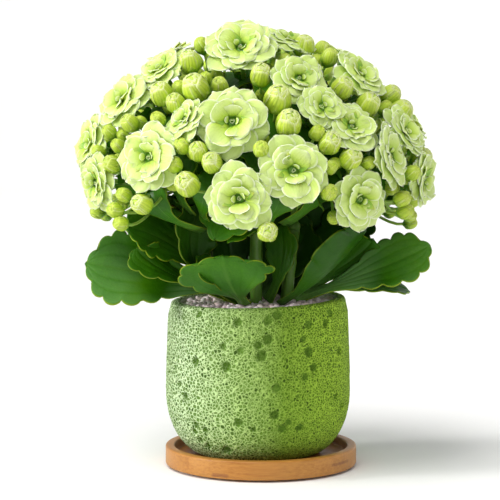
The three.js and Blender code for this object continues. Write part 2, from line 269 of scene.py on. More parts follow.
for x, side, z, half_length, half_height in NODE_BARS:
    near_x = between(tree, off_line(tree, where.outputs["X"], x * MM),
                     (half_length - 0.5) * MM, (half_length + 0.3) * MM, 1.0, 0.0)
    near_z = between(tree, off_line(tree, where.outputs["Z"], z * MM),
                     (half_height - 0.25) * MM, (half_height + 0.15) * MM, 1.0, 0.0)
    on_side = between(tree, times(tree, where.outputs["Y"], side), 0.0, 1 * MM)
    bar = times(tree, times(tree, near_x, near_z), on_side)
    bar = times(tree, bar, between(tree, fibres, 0.3, 0.65, 0.9, 0.45))
    board = blend(tree, bar, board, (0.21, 0.07, 0.02))
flat_place = node(tree, "CombineXYZ", {"X": where.outputs["X"], "Y": where.outputs["Y"]}).outputs[0]
from_axis = node(tree, "VectorMath", {0: flat_place}, operation="LENGTH").outputs["Value"]
# Painted shade: the floor and foot of the recess, where the pot stands, are painted darker and redder.
inside_wall = between(tree, from_axis, RECESS_RADIUS - 0.3 * MM, RECESS_RADIUS + 0.3 * MM, 1.0, 0.0)
under_rim = between(tree, where.outputs["Z"], saucer_high.z - 1.2 * MM, saucer_high.z - 0.5 * MM, 1.0, 0.0)
recess_painted_shade = times(tree, inside_wall, under_rim)
board = blend(tree, times(tree, recess_painted_shade, 0.75), board, (0.36, 0.115, 0.012))
tree.links.new(board, shader.inputs["Base Color"])
tree.links.new(between(tree, fibres, 0.3, 0.7, 0.36, 0.54), shader.inputs["Roughness"])
bump(tree, shader, fibres, 0.15 * MM, 0.7)

saucer = shown("turned_saucer", *turned(saucer_profile, 220), bamboo)
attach(saucer, "root")
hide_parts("saucer")


# ---------------------------------------------------------------- Pot
# Cast in green foamed concrete: the foam leaves fine pores all over and larger burst bubbles here
# and there. The inside is bare grey, green ends at the mouth, and the rim stands a little uneven.

pot_low, pot_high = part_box("pot")
POT_X = (pot_low.x + pot_high.x) / 2
BELLY_RADIUS = (pot_high.x - pot_low.x) / 2
FOOT_RADIUS = 20 * MM
BELLY_Z = 30 * MM
SHOULDER_RADIUS = 35.9 * MM
RIM_RADIUS = 34.9 * MM
MOUTH_RADIUS = 31 * MM
RIM_TILT = 0.03
RIM_ROUND = 1.6 * MM
WALL = 4.9 * MM
POT_FLOOR = 6 * MM
HIDDEN_BUBBLES = 58  # burst bubbles on the sides and the back
LUMPS, LUMPS_COARSE = 0.08, 0.08  # height of the foam's lumps in mm, and what coarse foam adds
CRATERS, CRATERS_COARSE = 0.10, 0.12  # the same for the depth of its larger pores
COARSE_CELLS, FINE_CELLS = 760, 960  # small pores in a metre, on the coarse and the fine half
rim_z = pot_high.z - RIM_TILT * RIM_RADIUS
AROUND = 520  # points of the pot's mesh in one turn
PITCH = 0.52 * MM  # spacing of the pot's mesh along its outline


def bowl(foot_radius, foot_z, belly_radius, belly_z, steps):
    """A quarter ellipse from the foot outwards and up to the belly."""
    turn = np.linspace(0, math.pi / 2, steps)
    return np.stack([foot_radius + (belly_radius - foot_radius) * np.sin(turn),
                     belly_z - (belly_z - foot_z) * np.cos(turn)], axis=1)


def resampled(outline, pitch):
    """The outline with evenly spaced points."""
    steps = np.r_[0, np.cumsum(np.linalg.norm(np.diff(outline, axis=0), axis=1))]
    even = np.linspace(0, steps[-1], max(2, int(steps[-1] / pitch)))
    return np.stack([np.interp(even, steps, outline[:, k]) for k in (0, 1)], axis=1)


rim_turn = np.linspace(0, math.pi / 2, 8)
rim_outside = np.stack([RIM_RADIUS - RIM_ROUND * (1 - np.cos(rim_turn)),
                        rim_z - RIM_ROUND * (1 - np.sin(rim_turn))], axis=1)
under = [[2 * MM, pot_low.z], [10 * MM, pot_low.z], [18 * MM, pot_low.z]]
outside = np.concatenate([
    bowl(FOOT_RADIUS, pot_low.z, BELLY_RADIUS, BELLY_Z, 40),
    [[BELLY_RADIUS, BELLY_Z + 8 * MM],
     [SHOULDER_RADIUS, rim_z - 6 * MM]],
    rim_outside,
    [[MOUTH_RADIUS + 0.8 * MM, rim_z]],
])
inside = np.concatenate([
    [[MOUTH_RADIUS, rim_z - 0.8 * MM]],
    bowl(FOOT_RADIUS - WALL, pot_low.z + POT_FLOOR, BELLY_RADIUS - WALL, BELLY_Z + 3 * MM, 12)[::-1],
])
outside = np.concatenate([under, resampled(outside, PITCH)])
pot_outline = np.concatenate([outside, resampled(inside[:2], 1.5 * MM)[:-1], inside[1:]])
along = np.gradient(pot_outline, axis=0)
outward = np.stack([along[:, 1], -along[:, 0]], axis=1)
outward /= np.linalg.norm(outward, axis=1)[:, None]
bearings = np.arange(AROUND) * TURN / AROUND
grid_radius = np.repeat(pot_outline[:, :1], AROUND, axis=1)
pot_grid = np.stack([grid_radius * np.sin(bearings), -grid_radius * np.cos(bearings),
                     np.repeat(pot_outline[:, 1:], AROUND, axis=1)], axis=-1)
pot_normal = np.stack([outward[:, :1] * np.sin(bearings), -outward[:, :1] * np.cos(bearings),
                       np.repeat(outward[:, 1:], AROUND, axis=1)], axis=-1)

# Burst bubbles on the front: bearing, height and radius in millimetres, and how deep they go.
BUBBLES = [
    (-41, 65, 1.4, 0.6), (-13, 62.5, 1.7, 0.8), (6, 63, 1.8, 0.5), (12, 65, 2.0, 0.5),
    (33, 60.5, 1.7, 0.6), (47, 60, 1.6, 0.9), (53, 63.5, 1.8, 0.6), (29, 55, 1.2, 0.5),
    (6, 55.5, 1.9, 0.9), (0, 53.5, 1.6, 0.8), (2, 49.5, 2.1, 1.2), (-11, 51.5, 1.6, 0.4),
    (-22, 53, 1.5, 0.6), (-42, 46, 1.7, 1.0), (-20, 45, 2.0, 1.1), (33, 50, 1.9, 1.2),
    (61, 48, 1.5, 1.0), (36, 43.5, 1.6, 1.2), (30, 40.5, 1.5, 0.8), (11, 36.5, 2.0, 0.5),
    (-51, 31.5, 1.6, 1.1), (56, 31, 1.1, 0.9), (64, 26, 1.5, 0.9), (10, 26, 1.9, 1.2),
    (-12, 23, 1.7, 0.8), (15, 20.5, 1.8, 0.9), (19, 23, 1.3, 0.6), (27, 20.5, 1.7, 1.0),
    (-43, 20.5, 1.4, 0.9), (-36, 19, 1.3, 0.9), (-46, 17.5, 1.4, 0.9), (-43, 14, 1.3, 0.9),
    (-3, 20.5, 1.0, 0.6), (-23, 11, 1.9, 1.2), (-38, 12, 1.3, 0.8), (-63, 42, 1.1, 0.7),
    (-57, 35.5, 1.2, 0.7),
]
chance = np.random.default_rng(11)
for _ in range(HIDDEN_BUBBLES):
    BUBBLES.append((chance.uniform(72, 290), chance.uniform(12, 64), chance.uniform(0.9, 2.1),
                    chance.uniform(0.4, 1.2)))

outer_rows = len(outside)
skin = pot_grid[:outer_rows]
skin_points = [Vector(p) for p in skin.reshape(-1, 3)]
lumps = np.array([noise.fractal(p * 520, 0.8, 2.2, 3) for p in skin_points]).reshape(skin.shape[:2])
warped = [p * 930 + noise.noise_vector(p * 700) * 0.35 for p in skin_points]
cells = np.array([noise.voronoi(p)[0][0] for p in warped]).reshape(skin.shape[:2])
# The foam is coarser on one half of the pot than on the other.
coarse = 0.5 - 0.5 * np.tanh((skin[..., 0] / MM + 0.25 * skin[..., 2] / MM - 14) / 20)
sunk = np.zeros(skin.shape[:2])
for bearing, height, radius, depth in BUBBLES:
    turn = math.radians(bearing)
    row = len(under) + np.argmin(np.abs(outside[len(under):, 1] - height * MM))
    spot = np.array([outside[row, 0] * math.sin(turn), -outside[row, 0] * math.cos(turn), outside[row, 1]])
    away = np.linalg.norm(skin - spot, axis=-1) / (radius * MM) * (1 + 0.2 * lumps)
    hollow = np.clip((1.1 - away) / 0.42, 0, 1)
    sunk = np.maximum(sunk, (0.4 + 1.1 * depth) * MM * hollow * hollow * (3 - 2 * hollow))
pores = np.clip(1 - cells / 0.5, 0, 1)
foam = (LUMPS + LUMPS_COARSE * coarse) * lumps - (CRATERS + CRATERS_COARSE * coarse) * pores
relief = foam * MM * (1 - 0.7 * np.clip(sunk / (0.5 * MM), 0, 1)) - sunk
level = np.clip((skin[..., 2] - pot_low.z) / (3 * MM), 0, 1)
on_rim = np.clip((skin[..., 2] - rim_z + 0.5 * MM) / (0.5 * MM), 0, 1)
relief *= level * (1 - 0.45 * on_rim)
relief = np.clip(relief + 0.15 * MM, -2.2 * MM, 0.25 * MM)
pot_grid[:outer_rows] += pot_normal[:outer_rows] * relief[..., None]
raised = np.clip((pot_grid[..., 2] - BELLY_Z) / (rim_z - BELLY_Z), 0, 1)
pot_grid[..., 2] += RIM_TILT * raised * pot_grid[..., 0]
pot_grid[..., 0] += POT_X

pot_marks = np.zeros((*pot_grid.shape[:2], 4))
pot_marks[:outer_rows, :, 0] = np.clip(sunk / (1.2 * MM), 0, 1)
pot_marks[:outer_rows, :, 1] = coarse
rows = len(pot_outline)
bare = np.clip((MOUTH_RADIUS + 0.5 * MM - pot_outline[:, 0]) / (0.5 * MM), 0, 1)
bare *= (pot_outline[:, 1] > 8 * MM) & (np.arange(rows) > outer_rows - 12)
pot_marks[..., 2] = bare[:, None]
pot_faces = []
for i in range(rows):
    a, b = i * AROUND, ((i + 1) % rows) * AROUND
    pot_faces += [(a + j, a + (j + 1) % AROUND, b + (j + 1) % AROUND, b + j) for j in range(AROUND)]


def marks_at(tree):
    """The first three of the values that a mesh carries in "marks"."""
    carried = node(tree, "Attribute", attribute_name="marks").outputs["Color"]
    return node(tree, "SeparateColor", {"Color": carried}).outputs


def grain(tree, scale, detail, roughness=0.5):
    """Soft noise, with its scale in features per metre."""
    inputs = {"Vector": place(tree), "Scale": scale, "Detail": detail, "Roughness": roughness}
    return node(tree, "TexNoise", inputs).outputs["Fac"]


def cells_in(tree, spot, scale, **settings):
    return node(tree, "TexVoronoi", {"Vector": spot, "Scale": scale}, **settings).outputs


concrete, tree, shader = material("green_foamed_concrete", (0.35, 0.55, 0.12), 0.9, Specular_IOR_Level=0.2)
marks = marks_at(tree)
tone = mottle(tree, 30, 800, 0.3)
bent = node(tree, "TexNoise", {"Vector": place(tree), "Scale": 800, "Detail": 1}).outputs["Color"]
bent = node(tree, "VectorMath", {0: bent, 1: (0.6 * MM,) * 3, 2: place(tree)}, operation="MULTIPLY_ADD")
bent = bent.outputs[0]
cell_chance = cells_in(tree, bent, COARSE_CELLS)["Color"]
coarse_walls = cells_in(tree, bent, COARSE_CELLS, feature="DISTANCE_TO_EDGE")["Distance"]
fine_walls = cells_in(tree, bent, FINE_CELLS, feature="DISTANCE_TO_EDGE")["Distance"]
coarse_pores = between(tree, coarse_walls, 0.06, 0.15)
fine_pores = between(tree, fine_walls, 0.09, 0.19)
open_pores = node(tree, "Mix", {0: marks[1], 2: fine_pores, 3: coarse_pores}, data_type="FLOAT")
open_pores = open_pores.outputs[0]
deep_ones = between(tree, node(tree, "SeparateColor", {"Color": cell_chance}).outputs[0], 0.7, 0.8)
deep = times(tree, deep_ones, between(tree, coarse_walls, 0.16, 0.3))
grit = grain(tree, 2100, 4, 0.7)
swells = grain(tree, 560, 2)
where = node(tree, "SeparateXYZ", {"Vector": place(tree)})
# Painted light and shade: the ridges are painted pale on the lit left side of the pot and deep green towards
# the shaded right.
lit_to_shaded_side = between(tree, where.outputs["X"], -30 * MM, 30 * MM)
ridge = ramp(tree, lit_to_shaded_side, [(0.0, (0.70, 0.86, 0.53)), (0.35, (0.49, 0.68, 0.24)),
                                   (0.65, (0.26, 0.42, 0.045)), (1.0, (0.38, 0.59, 0.045))])
ridge = blend(tree, between(tree, tone, 0.35, 0.7, 0.0, 0.3), ridge, (0.28, 0.46, 0.05))
# Painted shade: the open pores, the deepest of them and the burst bubbles are painted dark green where shade
# falls in them.
color = blend(tree, times(tree, open_pores, 0.92), ridge, (0.07, 0.165, 0.004))
color = blend(tree, times(tree, deep, 0.85), color, (0.025, 0.06, 0.004))
color = blend(tree, between(tree, marks[0], 0.1, 0.7, 0.0, 0.75), color, (0.11, 0.23, 0.02))
color = blend(tree, marks[2], color, (0.62, 0.60, 0.56))
tree.links.new(color, shader.inputs["Base Color"])
height = math_node(tree, "SUBTRACT", times(tree, grit, 0.35), open_pores)
height = math_node(tree, "ADD", height, times(tree, swells, 0.5))
bump(tree, shader, height, 0.42 * MM)

pot = shown("foamed_concrete_pot", pot_grid.reshape(-1, 3).tolist(), pot_faces, concrete, pot_marks)
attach(pot, "root")
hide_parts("pot")


# ---------------------------------------------------------------- Potting mix
# The root ball: dark peat held together by fine roots. It fills the pot under the gravel and shows
# only if the stones are scraped away.

peat, tree, shader = material("peat_mix", (0.04, 0.026, 0.016), 0.95)
tone = mottle(tree, 300, 1400, 0.5)
tree.links.new(ramp(tree, tone, [(0.35, (0.02, 0.013, 0.008)), (0.62, (0.09, 0.06, 0.04))]),
               shader.inputs["Base Color"])
bump(tree, shader, tone, 0.8 * MM)
mix_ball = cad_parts["potting_mix"]
mix_ball.data.materials.clear()
mix_ball.data.materials.append(peat)


# ---------------------------------------------------------------- Gravel top
# A dressing of small washed stones over the mix, grey, white and pinkish, 2 to 4 mm each and poured
# loose up to just under the rim.

gravel_low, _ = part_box("gravel_top")
GRAVEL_TOP = rim_z - 0.4 * MM
STONES = 640
GOLDEN_TURN = 2.399963  # golden angle in radians
stone_form = bmesh.new()
bmesh.ops.create_icosphere(stone_form, subdivisions=2, radius=1)
stone_points = np.array([v.co for v in stone_form.verts])
stone_faces = np.array([[v.index for v in f.verts] for f in stone_form.faces])
stone_form.free()


def scattered(count, radius, chance):
    """Places spread evenly over a disc, jittered, by the golden angle."""
    index = np.arange(count) + 0.5
    reach = radius * np.sqrt(index / count)
    turn = index * GOLDEN_TURN
    jitter = chance.normal(0, 0.5 * MM, (count, 2))
    return np.stack([reach * np.cos(turn), reach * np.sin(turn)], axis=1) + jitter


chance = np.random.default_rng(5)
stone_reach = MOUTH_RADIUS - 1.9 * MM
points, faces, marks_list = [], [], []
for index, (x, y) in enumerate(scattered(STONES, stone_reach, chance)):
    size = chance.uniform(0.9, 1.75) * MM
    size = size * np.array([1.0, chance.uniform(0.7, 1.0), chance.uniform(0.5, 0.8)])
    spin = Matrix.Rotation(chance.uniform(0, TURN), 3, "Z")
    spin = spin @ Matrix.Rotation(chance.uniform(-0.6, 0.6), 3, "X")
    knobbly = 1 + 0.16 * np.sin(stone_points @ chance.normal(0, 1.6, 3) + chance.uniform(0, 6))
    form = (stone_points * knobbly[:, None] * size) @ np.array(spin).T
    edge = np.hypot(x, y) / stone_reach
    lift = GRAVEL_TOP - 0.5 * MM + chance.uniform(-0.9, 0.6) * MM - 0.4 * MM * edge ** 4
    faces.append(stone_faces + len(stone_points) * index)
    points.append(form + np.array([POT_X + x, y, lift + RIM_TILT * x]))
    marks_list.append(np.tile([chance.uniform(), chance.uniform(), 0, 1], (len(stone_points), 1)))

stone, tree, shader = material("washed_stone", (0.5, 0.45, 0.43), 0.7)
marks = marks_at(tree)
stone_colors = [(0.0, (0.60, 0.46, 0.47)), (0.25, (0.86, 0.70, 0.75)), (0.55, (0.94, 0.82, 0.88)),
                (0.75, (0.92, 0.70, 0.68)), (1.0, (0.96, 0.90, 0.93))]
tone = mottle(tree, 420, 2600, 0.5)
color = ramp(tree, marks[0], stone_colors)
color = blend(tree, between(tree, tone, 0.35, 0.65, 0.0, 0.25), color, (0.32, 0.28, 0.27))
tree.links.new(color, shader.inputs["Base Color"])
bump(tree, shader, tone, 0.15 * MM)

gravel = shown("gravel_stones", np.concatenate(points).tolist(), np.concatenate(faces).tolist(), stone,
               np.concatenate(marks_list))
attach(gravel, "root")
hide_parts("gravel_top")
# The layer's own body fills in under the loose stones.
bed_radius = MOUTH_RADIUS - 0.4 * MM
bed_top = GRAVEL_TOP - 1.2 * MM
bed_profile = np.array([[0, gravel_low.z], [bed_radius, gravel_low.z], [bed_radius, GRAVEL_TOP - 1.9 * MM],
                        [0.5 * MOUTH_RADIUS, bed_top], [0, bed_top]])
bed_points, bed_faces = turned(bed_profile, 64, (POT_X, 0))
bed = shown("gravel_bed", bed_points, bed_faces, stone, np.tile([0.1, 0.5, 0, 1], (len(bed_points), 1)))
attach(bed, "root")


# ---------------------------------------------------------------- Flower stalks
# Fleshy green stems that leave the gravel, fork high up and carry every bloom and bud on its own
# thin pedicel, all grown as one. The upper branches are paler and a little ribbed.

CROWN_CENTRE = np.array([-2.5, 0, 112]) * MM
CROWN_RADII = np.array([73, 68, 64]) * MM
BUD_SINK = 5 * MM
BLOOM_BACK = 0.13  # depth of a bloom behind its rim, as a share of its width
STEM_RADIUS = 2.4 * MM
BRANCH_RADIUS = 1.05 * MM
PEDICEL_RADIUS = 0.62 * MM
ROOT_Z = 64.8 * MM  # a little under the top of the gravel
STEM_STEPS = 16
BRANCH_STEPS = 18
PEDICEL_STEPS = 10

# Each stalk: root on the gravel, fork, how many blooms it carries, and its buds as bearing and
# elevation on the crown in degrees with their width in millimetres.
STALKS = [
    ((-2, -9), (-2, -13, 100), 5,
     [(3, 50, 8), (9, 38, 10), (12, 28, 9.5), (2, 18, 6), (-14, 13, 7.5), (-19, 17, 7), (4, -12, 7.5),
      (-22, 5, 9)]),
    ((-12, -3), (-22, -7, 88), 6,
     [(-27, 43, 10), (-43, 40, 8.5), (-33, 36, 7), (-44, 58, 8), (-38, 29, 5.5), (-52, 27, 6.5),
      (-55, 11, 6.5), (-25, 19, 6), (-27, 12, 6), (-39, -3, 7.5), (-52, -6, 6), (-50, -11, 5.5),
      (-47, 0, 5.5), (-64, 23, 5), (-67, 15, 5), (-54, 18, 5)]),
    ((10, -5), (13, -9, 97), 8,
     [(22, 24, 5.5), (26, 20, 8), (33, 14, 8), (40, 12, 5), (25, 11, 5), (42, 43, 8), (51, 35, 8.5),
      (86, 38, 8), (80, 31, 8.5), (80, 12, 7.5), (64, 7, 6), (56, -2, 6), (59, -7, 6), (24, 2, 6)]),
    ((-8, 9), (-15, 19, 95), 5,
     [(-89, 72, 6), (-140, 52, 9), (-100, 36, 7), (-142, 22, 8), (-134, 8, 7), (-168, 24, 7),
      (-150, 38, 6), (-122, -8, 6), (-104, 22, 6)]),
    ((8, 9), (15, 19, 96), 6,
     [(60, 71, 8), (85, 67, 6.5), (62, 61, 6.5), (140, 50, 9), (112, 32, 8), (150, 28, 7),
      (134, 8, 7), (176, 16, 7), (176, -4, 7), (100, 14, 6), (132, -10, 6)]),
]


def direction(bearing, elevation):
    b, e = math.radians(bearing), math.radians(elevation)
    return np.array([math.sin(b) * math.cos(e), -math.cos(b) * math.cos(e), math.sin(e)])


def on_crown(bearing, elevation, sink):
    return CROWN_CENTRE + (CROWN_RADII - sink) * direction(bearing, elevation)


def bloom_axis(name):
    """Centre, facing and width of a bloom, from the two poles and the rim of its CAD solid."""
    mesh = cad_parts[name].data
    corners = np.array([v.co for v in mesh.vertices])
    keys = [tuple(np.round(corner, 6)) for corner in corners]
    meeting = {}
    for polygon in mesh.polygons:
        for vertex in {keys[i] for i in polygon.vertices}:
            meeting[vertex] = meeting.get(vertex, 0) + 1
    poles = sorted(meeting, key=meeting.get)[-2:]
    inside = CROWN_CENTRE - np.array([0, 0, 10 * MM])
    back, front = sorted((np.array(p) for p in poles), key=lambda p: np.linalg.norm(p - inside))
    facing = (front - back) / np.linalg.norm(front - back)
    span = corners - back
    reach = np.linalg.norm(span - np.outer(span @ facing, facing), axis=1)
    width = 2 * reach.max()
    return back + facing * BLOOM_BACK * width, facing, width


BLOOMS = [bloom_axis(f"bloom_{i + 1:02d}") for i in range(sum(count for *_, count, _ in STALKS))]


def bezier(points, steps):
    """Points along a Bezier curve of any degree."""
    t = np.linspace(0, 1, steps + 1)[:, None]
    last = len(points) - 1
    return sum(math.comb(last, k) * t ** k * (1 - t) ** (last - k) * p for k, p in enumerate(points))


def tube(route, radii, sides, ribs=0.0):
    """A closed tube along a route, with a radius at each point."""
    ahead = np.gradient(route, axis=0)
    ahead /= np.linalg.norm(ahead, axis=1)[:, None]
    side = np.cross(ahead[0], [0.3, 0.9, 0.1])
    rings = []
    angles = np.arange(sides) * TURN / sides
    for centre, way, radius in zip(route, ahead, radii):
        side = side - way * (side @ way)
        side /= np.linalg.norm(side)
        other = np.cross(way, side)
        reach = radius * (1 + ribs * np.cos(4 * angles))
        ring = np.outer(reach * np.cos(angles), side) + np.outer(reach * np.sin(angles), other)
        rings.append(centre + ring)
    points = np.concatenate(rings + [route[:1], route[-1:]])
    count = len(route)
    start, end = len(points) - 2, len(points) - 1
    faces = []
    for j in range(sides):
        k = (j + 1) % sides
        faces.append((start, k, j))
        faces.append((end, (count - 1) * sides + j, (count - 1) * sides + k))
        for i in range(count - 1):
            a = i * sides
            faces.append((a + j, a + k, a + sides + k, a + sides + j))
    return points, faces


class Heap:
    """Gathers many small closed forms into the points, faces and marks of one mesh."""

    def __init__(self):
        self.points, self.faces, self.marks, self.count = [], [], [], 0

    def add(self, points, faces, marks=(0, 0, 0, 1)):
        points = np.asarray(points)
        self.points.append(points)
        self.faces += [tuple(i + self.count for i in face) for face in faces]
        marks = np.asarray(marks, dtype=float)
        self.marks.append(np.tile(marks, (len(points), 1)) if marks.ndim == 1 else marks)
        self.count += len(points)

    def show(self, name, finish):
        points = np.concatenate(self.points).tolist()
        return shown(name, points, self.faces, finish, np.concatenate(self.marks))


def around(vector, axis, turn):
    """The vector turned about an axis."""
    return np.array(Matrix.Rotation(turn, 3, Vector(axis)) @ Vector(vector))


stem_skin, tree, shader = material("stem_skin", (0.2, 0.36, 0.05), 0.42, Subsurface_Weight=0.15,
                                   Subsurface_Scale=1.5 * MM)
marks = marks_at(tree)
tone = mottle(tree, 160, 1500, 0.4)
color = ramp(tree, marks[0], [(0.0, (0.10, 0.24, 0.02)), (0.55, (0.18, 0.36, 0.035)),
                              (1.0, (0.34, 0.52, 0.08))])
color = blend(tree, between(tree, tone, 0.3, 0.7, 0.0, 0.4), color, (0.08, 0.2, 0.015))
tree.links.new(color, shader.inputs["Base Color"])
bump(tree, shader, tone, 0.2 * MM, 0.5)

GOLDEN_DEGREES = 137.508


def spread_over_crown(count, lowest, highest):
    """Bearings and elevations in degrees, spread evenly over the crown by the golden angle."""
    rise = np.linspace(math.sin(math.radians(lowest)), math.sin(math.radians(highest)), count)
    return [((index * GOLDEN_DEGREES) % 360 - 180, math.degrees(math.asin(z)))
            for index, z in enumerate(rise)]


def unit(vector):
    return vector / np.linalg.norm(vector)


YOUNG_BUDS = 3  # small green buds on each branch, under the bloom
YOUNG_LIMIT = 0.87  # how far out they reach, as a share of the crown's radii
FILLERS = 260  # places over the crown that are tried for one more bud
FILLER_SINK = 7.5 * MM
FRONT_SIDE, FRONT_LOWEST = 75, 8  # the low front has no such buds: bearing and elevation in degrees
taken = [(centre, 0.5 * width) for centre, _, width in BLOOMS]
taken += [(on_crown(bearing, elevation, BUD_SINK), 0.5 * width * MM)
          for *_, buds in STALKS for bearing, elevation, width in buds]
fillers = [[] for _ in STALKS]
chance = np.random.default_rng(29)
for bearing, elevation in spread_over_crown(FILLERS, -16, 86):
    width = chance.uniform(4.2, 6.4) * MM
    if abs(bearing) < FRONT_SIDE and elevation < FRONT_LOWEST:
        continue
    centre = on_crown(bearing, elevation, FILLER_SINK + chance.uniform(0, 3) * MM)
    if any(np.linalg.norm(centre - other) < radius + 0.42 * width for other, radius in taken):
        continue
    taken.append((centre, 0.5 * width))
    nearest_fork = [np.linalg.norm(centre - np.array(fork) * MM) for _, fork, *_ in STALKS]
    fillers[int(np.argmin(nearest_fork))].append((bearing, elevation, width / MM, centre))
first_bloom = 0
BUDS = []  # number of the stalk, centre, facing and width of every bud
BRANCHES = []
crotch_profile = np.array([[0, -1], [0.55, -0.8], [0.95, -0.25], [0.9, 0.35], [0.5, 0.85], [0, 1]])
crotch_points, crotch_faces = turned(crotch_profile, 14)
crotch_points = np.array(crotch_points) * 1.12 * STEM_RADIUS
chance = np.random.default_rng(3)
for number, (root, fork, bloom_count, buds) in enumerate(STALKS):
    heap = Heap()
    root = np.array([*(np.array(root) * MM), ROOT_Z])
    fork = np.array(fork) * MM
    bend = (root + fork) / 2
    bend[0] = root[0] + (fork[0] - root[0]) * 0.35
    stem = bezier([root, bend, fork], STEM_STEPS)
    # One leaf joint swells the stem a little above its middle.
    swelling = 1 + 0.14 * np.exp(-((np.linspace(0, 1, STEM_STEPS + 1) - 0.55) / 0.06) ** 2)
    heap.add(*tube(stem, STEM_RADIUS * swelling, 14, 0.05), (0.1, 0, 0, 1))
    heap.add(crotch_points + fork, crotch_faces, (0.25, 0, 0, 1))
    branches = []
    for centre, facing, width in BLOOMS[first_bloom:first_bloom + bloom_count]:
        back = centre - facing * BLOOM_BACK * width
        reach = np.linalg.norm(back - fork)
        rise = np.array([0, 0, 0.3 * reach])
        branch = bezier([fork, fork + rise, back - facing * 0.35 * reach, back], BRANCH_STEPS)
        branches.append(branch)
        taper = np.linspace(1.35, 0.8, BRANCH_STEPS + 1) * BRANCH_RADIUS
        heap.add(*tube(branch, taper, 10, 0.04), (0.55, 0, 0, 1))
    first_bloom += bloom_count
    placed = [(*bud, on_crown(bud[0], bud[1], BUD_SINK)) for bud in buds] + fillers[number]
    for k, (bearing, elevation, width, centre) in enumerate(placed):
        facing = direction(bearing, elevation * 0.7 + 20)
        nearest = min(branches, key=lambda branch: np.linalg.norm(branch[-1] - centre))
        start = nearest[round(BRANCH_STEPS * (0.42 + 0.06 * (k % 5)))]
        base = centre - facing * 0.5 * width * MM
        reach = np.linalg.norm(base - start)
        leaving = start + (nearest[-1] - nearest[-6]) * 0.25
        pedicel = bezier([start, leaving, base - facing * 0.3 * reach, base], PEDICEL_STEPS)
        taper = np.linspace(1.15, 0.95, PEDICEL_STEPS + 1) * PEDICEL_RADIUS
        heap.add(*tube(pedicel, taper, 8), (0.85, 0, 0, 1))
        BUDS.append((number, centre, facing, width * MM))
    BRANCHES.append(branches)
    for branch in branches:
        ahead = unit(branch[-1] - branch[-4])
        spin = chance.uniform(0, TURN)
        for k in range(YOUNG_BUDS):
            side = np.cross(ahead, [math.cos(spin), math.sin(spin), 0.4])
            side = unit(around(side, ahead, k * TURN / YOUNG_BUDS + chance.normal(0, 0.4)))
            start = branch[round(chance.uniform(9, 13))]
            centre = branch[16] + side * chance.uniform(7, 12) * MM - ahead * chance.uniform(0, 5) * MM
            from_middle = (centre - CROWN_CENTRE) / CROWN_RADII
            from_middle *= min(1, YOUNG_LIMIT / np.linalg.norm(from_middle))
            centre = CROWN_CENTRE + CROWN_RADII * from_middle
            width = chance.uniform(3.8, 5.6)
            facing = unit(centre - start)
            base = centre - facing * 0.5 * width * MM
            pedicel = bezier([start, start + ahead * 2 * MM, base - facing * 2 * MM, base], 8)
            heap.add(*tube(pedicel, np.full(9, 0.85 * PEDICEL_RADIUS), 6), (0.6, 0, 0, 1))
            BUDS.append((number, centre, facing, width * MM))
    stalk = heap.show(f"stem_and_branches_{number + 1:02d}", stem_skin)
    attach(stalk, "root")
    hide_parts(f"stalk_{number + 1:02d}")


# ---------------------------------------------------------------- Leaves
# Thick fleshy blades on short flat stalks, spoon-shaped with rounded teeth round the end. They are
# deep green with a sunken midrib, faint side veins, a grey film here and there that is partly wax
# bloom and partly painted sheen, and a thin olive margin.

LEAF_THICKNESS = 1.5 * MM
LEAF_MARGIN = 0.45 * MM
PETIOLE = 5 * MM
LOBE = 9.2 * MM  # length of one rounded tooth of the margin
LOBE_DEPTH = 2.7 * MM  # notch between two teeth, on a leaf 30 mm wide
LEAF_ROWS = 84  # most of them near the blunt end, where the teeth are
LEAF_COLUMNS = 24

# Root, knee and tip of the centre line in millimetres, width, the way the upper face looks, and the
# fold: how much the sides rise above the middle.
LEAVES = [
    ((-6, -19, 67.5), (-12, -29, 77), (-15, -36, 88), 38, (0, 0.45, 0.85), -0.1),
    ((-8, -5, 69), (-42, -12, 77.5), (-69, -13, 82.5), 34, (-0.1, -0.8, 0.6), 0.12),
    ((-11, -9, 71), (-37, -16, 91), (-53, -20, 97), 29, (-0.1, -0.55, 0.85), 0.1),
    ((-12, -11, 68), (-38, -24, 81), (-48, -26, 90), 16, (-0.25, -0.6, 0.75), 0.2),
    ((-9, -14, 68), (-27, -21, 86), (-22, -15, 110), 24, (0.75, -0.6, 0.2), 0.4),
    ((-3, -17, 95), (-10, -27, 104), (-18, -33, 94), 21, (-0.1, -0.75, 0.6), 0.1),
    ((1, -20, 94), (-6, -28, 97), (-13, -35, 93), 8, (0, -0.6, 0.8), 0.15),
    ((-7, -17, 68), (-18, -24, 77), (-25, -28, 87), 14, (0.4, -0.5, 0.75), 0.2),
    ((3, -15, 68), (8, -20, 83), (8, -17, 98), 15, (-0.6, -0.75, 0.2), 0.25),
    ((8, -18, 67.5), (25, -27, 81), (40, -26, 97), 30, (-0.35, 0.1, 0.93), 0.6),
    ((13, -7, 69), (35, -9, 83), (44, -12, 92), 16, (0.1, -0.8, 0.5), 0.1),
    ((14, -9, 68), (44, -17, 80), (66, -18, 90), 24, (0.1, -0.7, 0.7), 0.12),
    ((13, -2, 68), (42, -3, 73), (59, -2, 70), 20, (0, -0.25, 0.95), 0.1),
    ((15, 5, 68), (42, 20, 82), (60, 30, 82), 30, (0.2, 0.25, 0.95), 0.15),
    ((11, 14, 68), (24, 38, 80), (34, 58, 80), 31, (0.2, 0.4, 0.9), 0.15),
    ((-2, 14, 68), (-6, 40, 80), (-8, 63, 82), 32, (0, 0.45, 0.9), 0.15),
    ((-12, 11, 68), (-32, 30, 81), (-48, 45, 84), 31, (-0.3, 0.35, 0.9), 0.15),
    ((12, 22, 92), (20, 38, 100), (28, 46, 96), 19, (0.3, 0.6, 0.7), 0.15),
    ((-14, 22, 91), (-24, 36, 99), (-31, 44, 95), 19, (-0.3, 0.6, 0.7), 0.15),
]


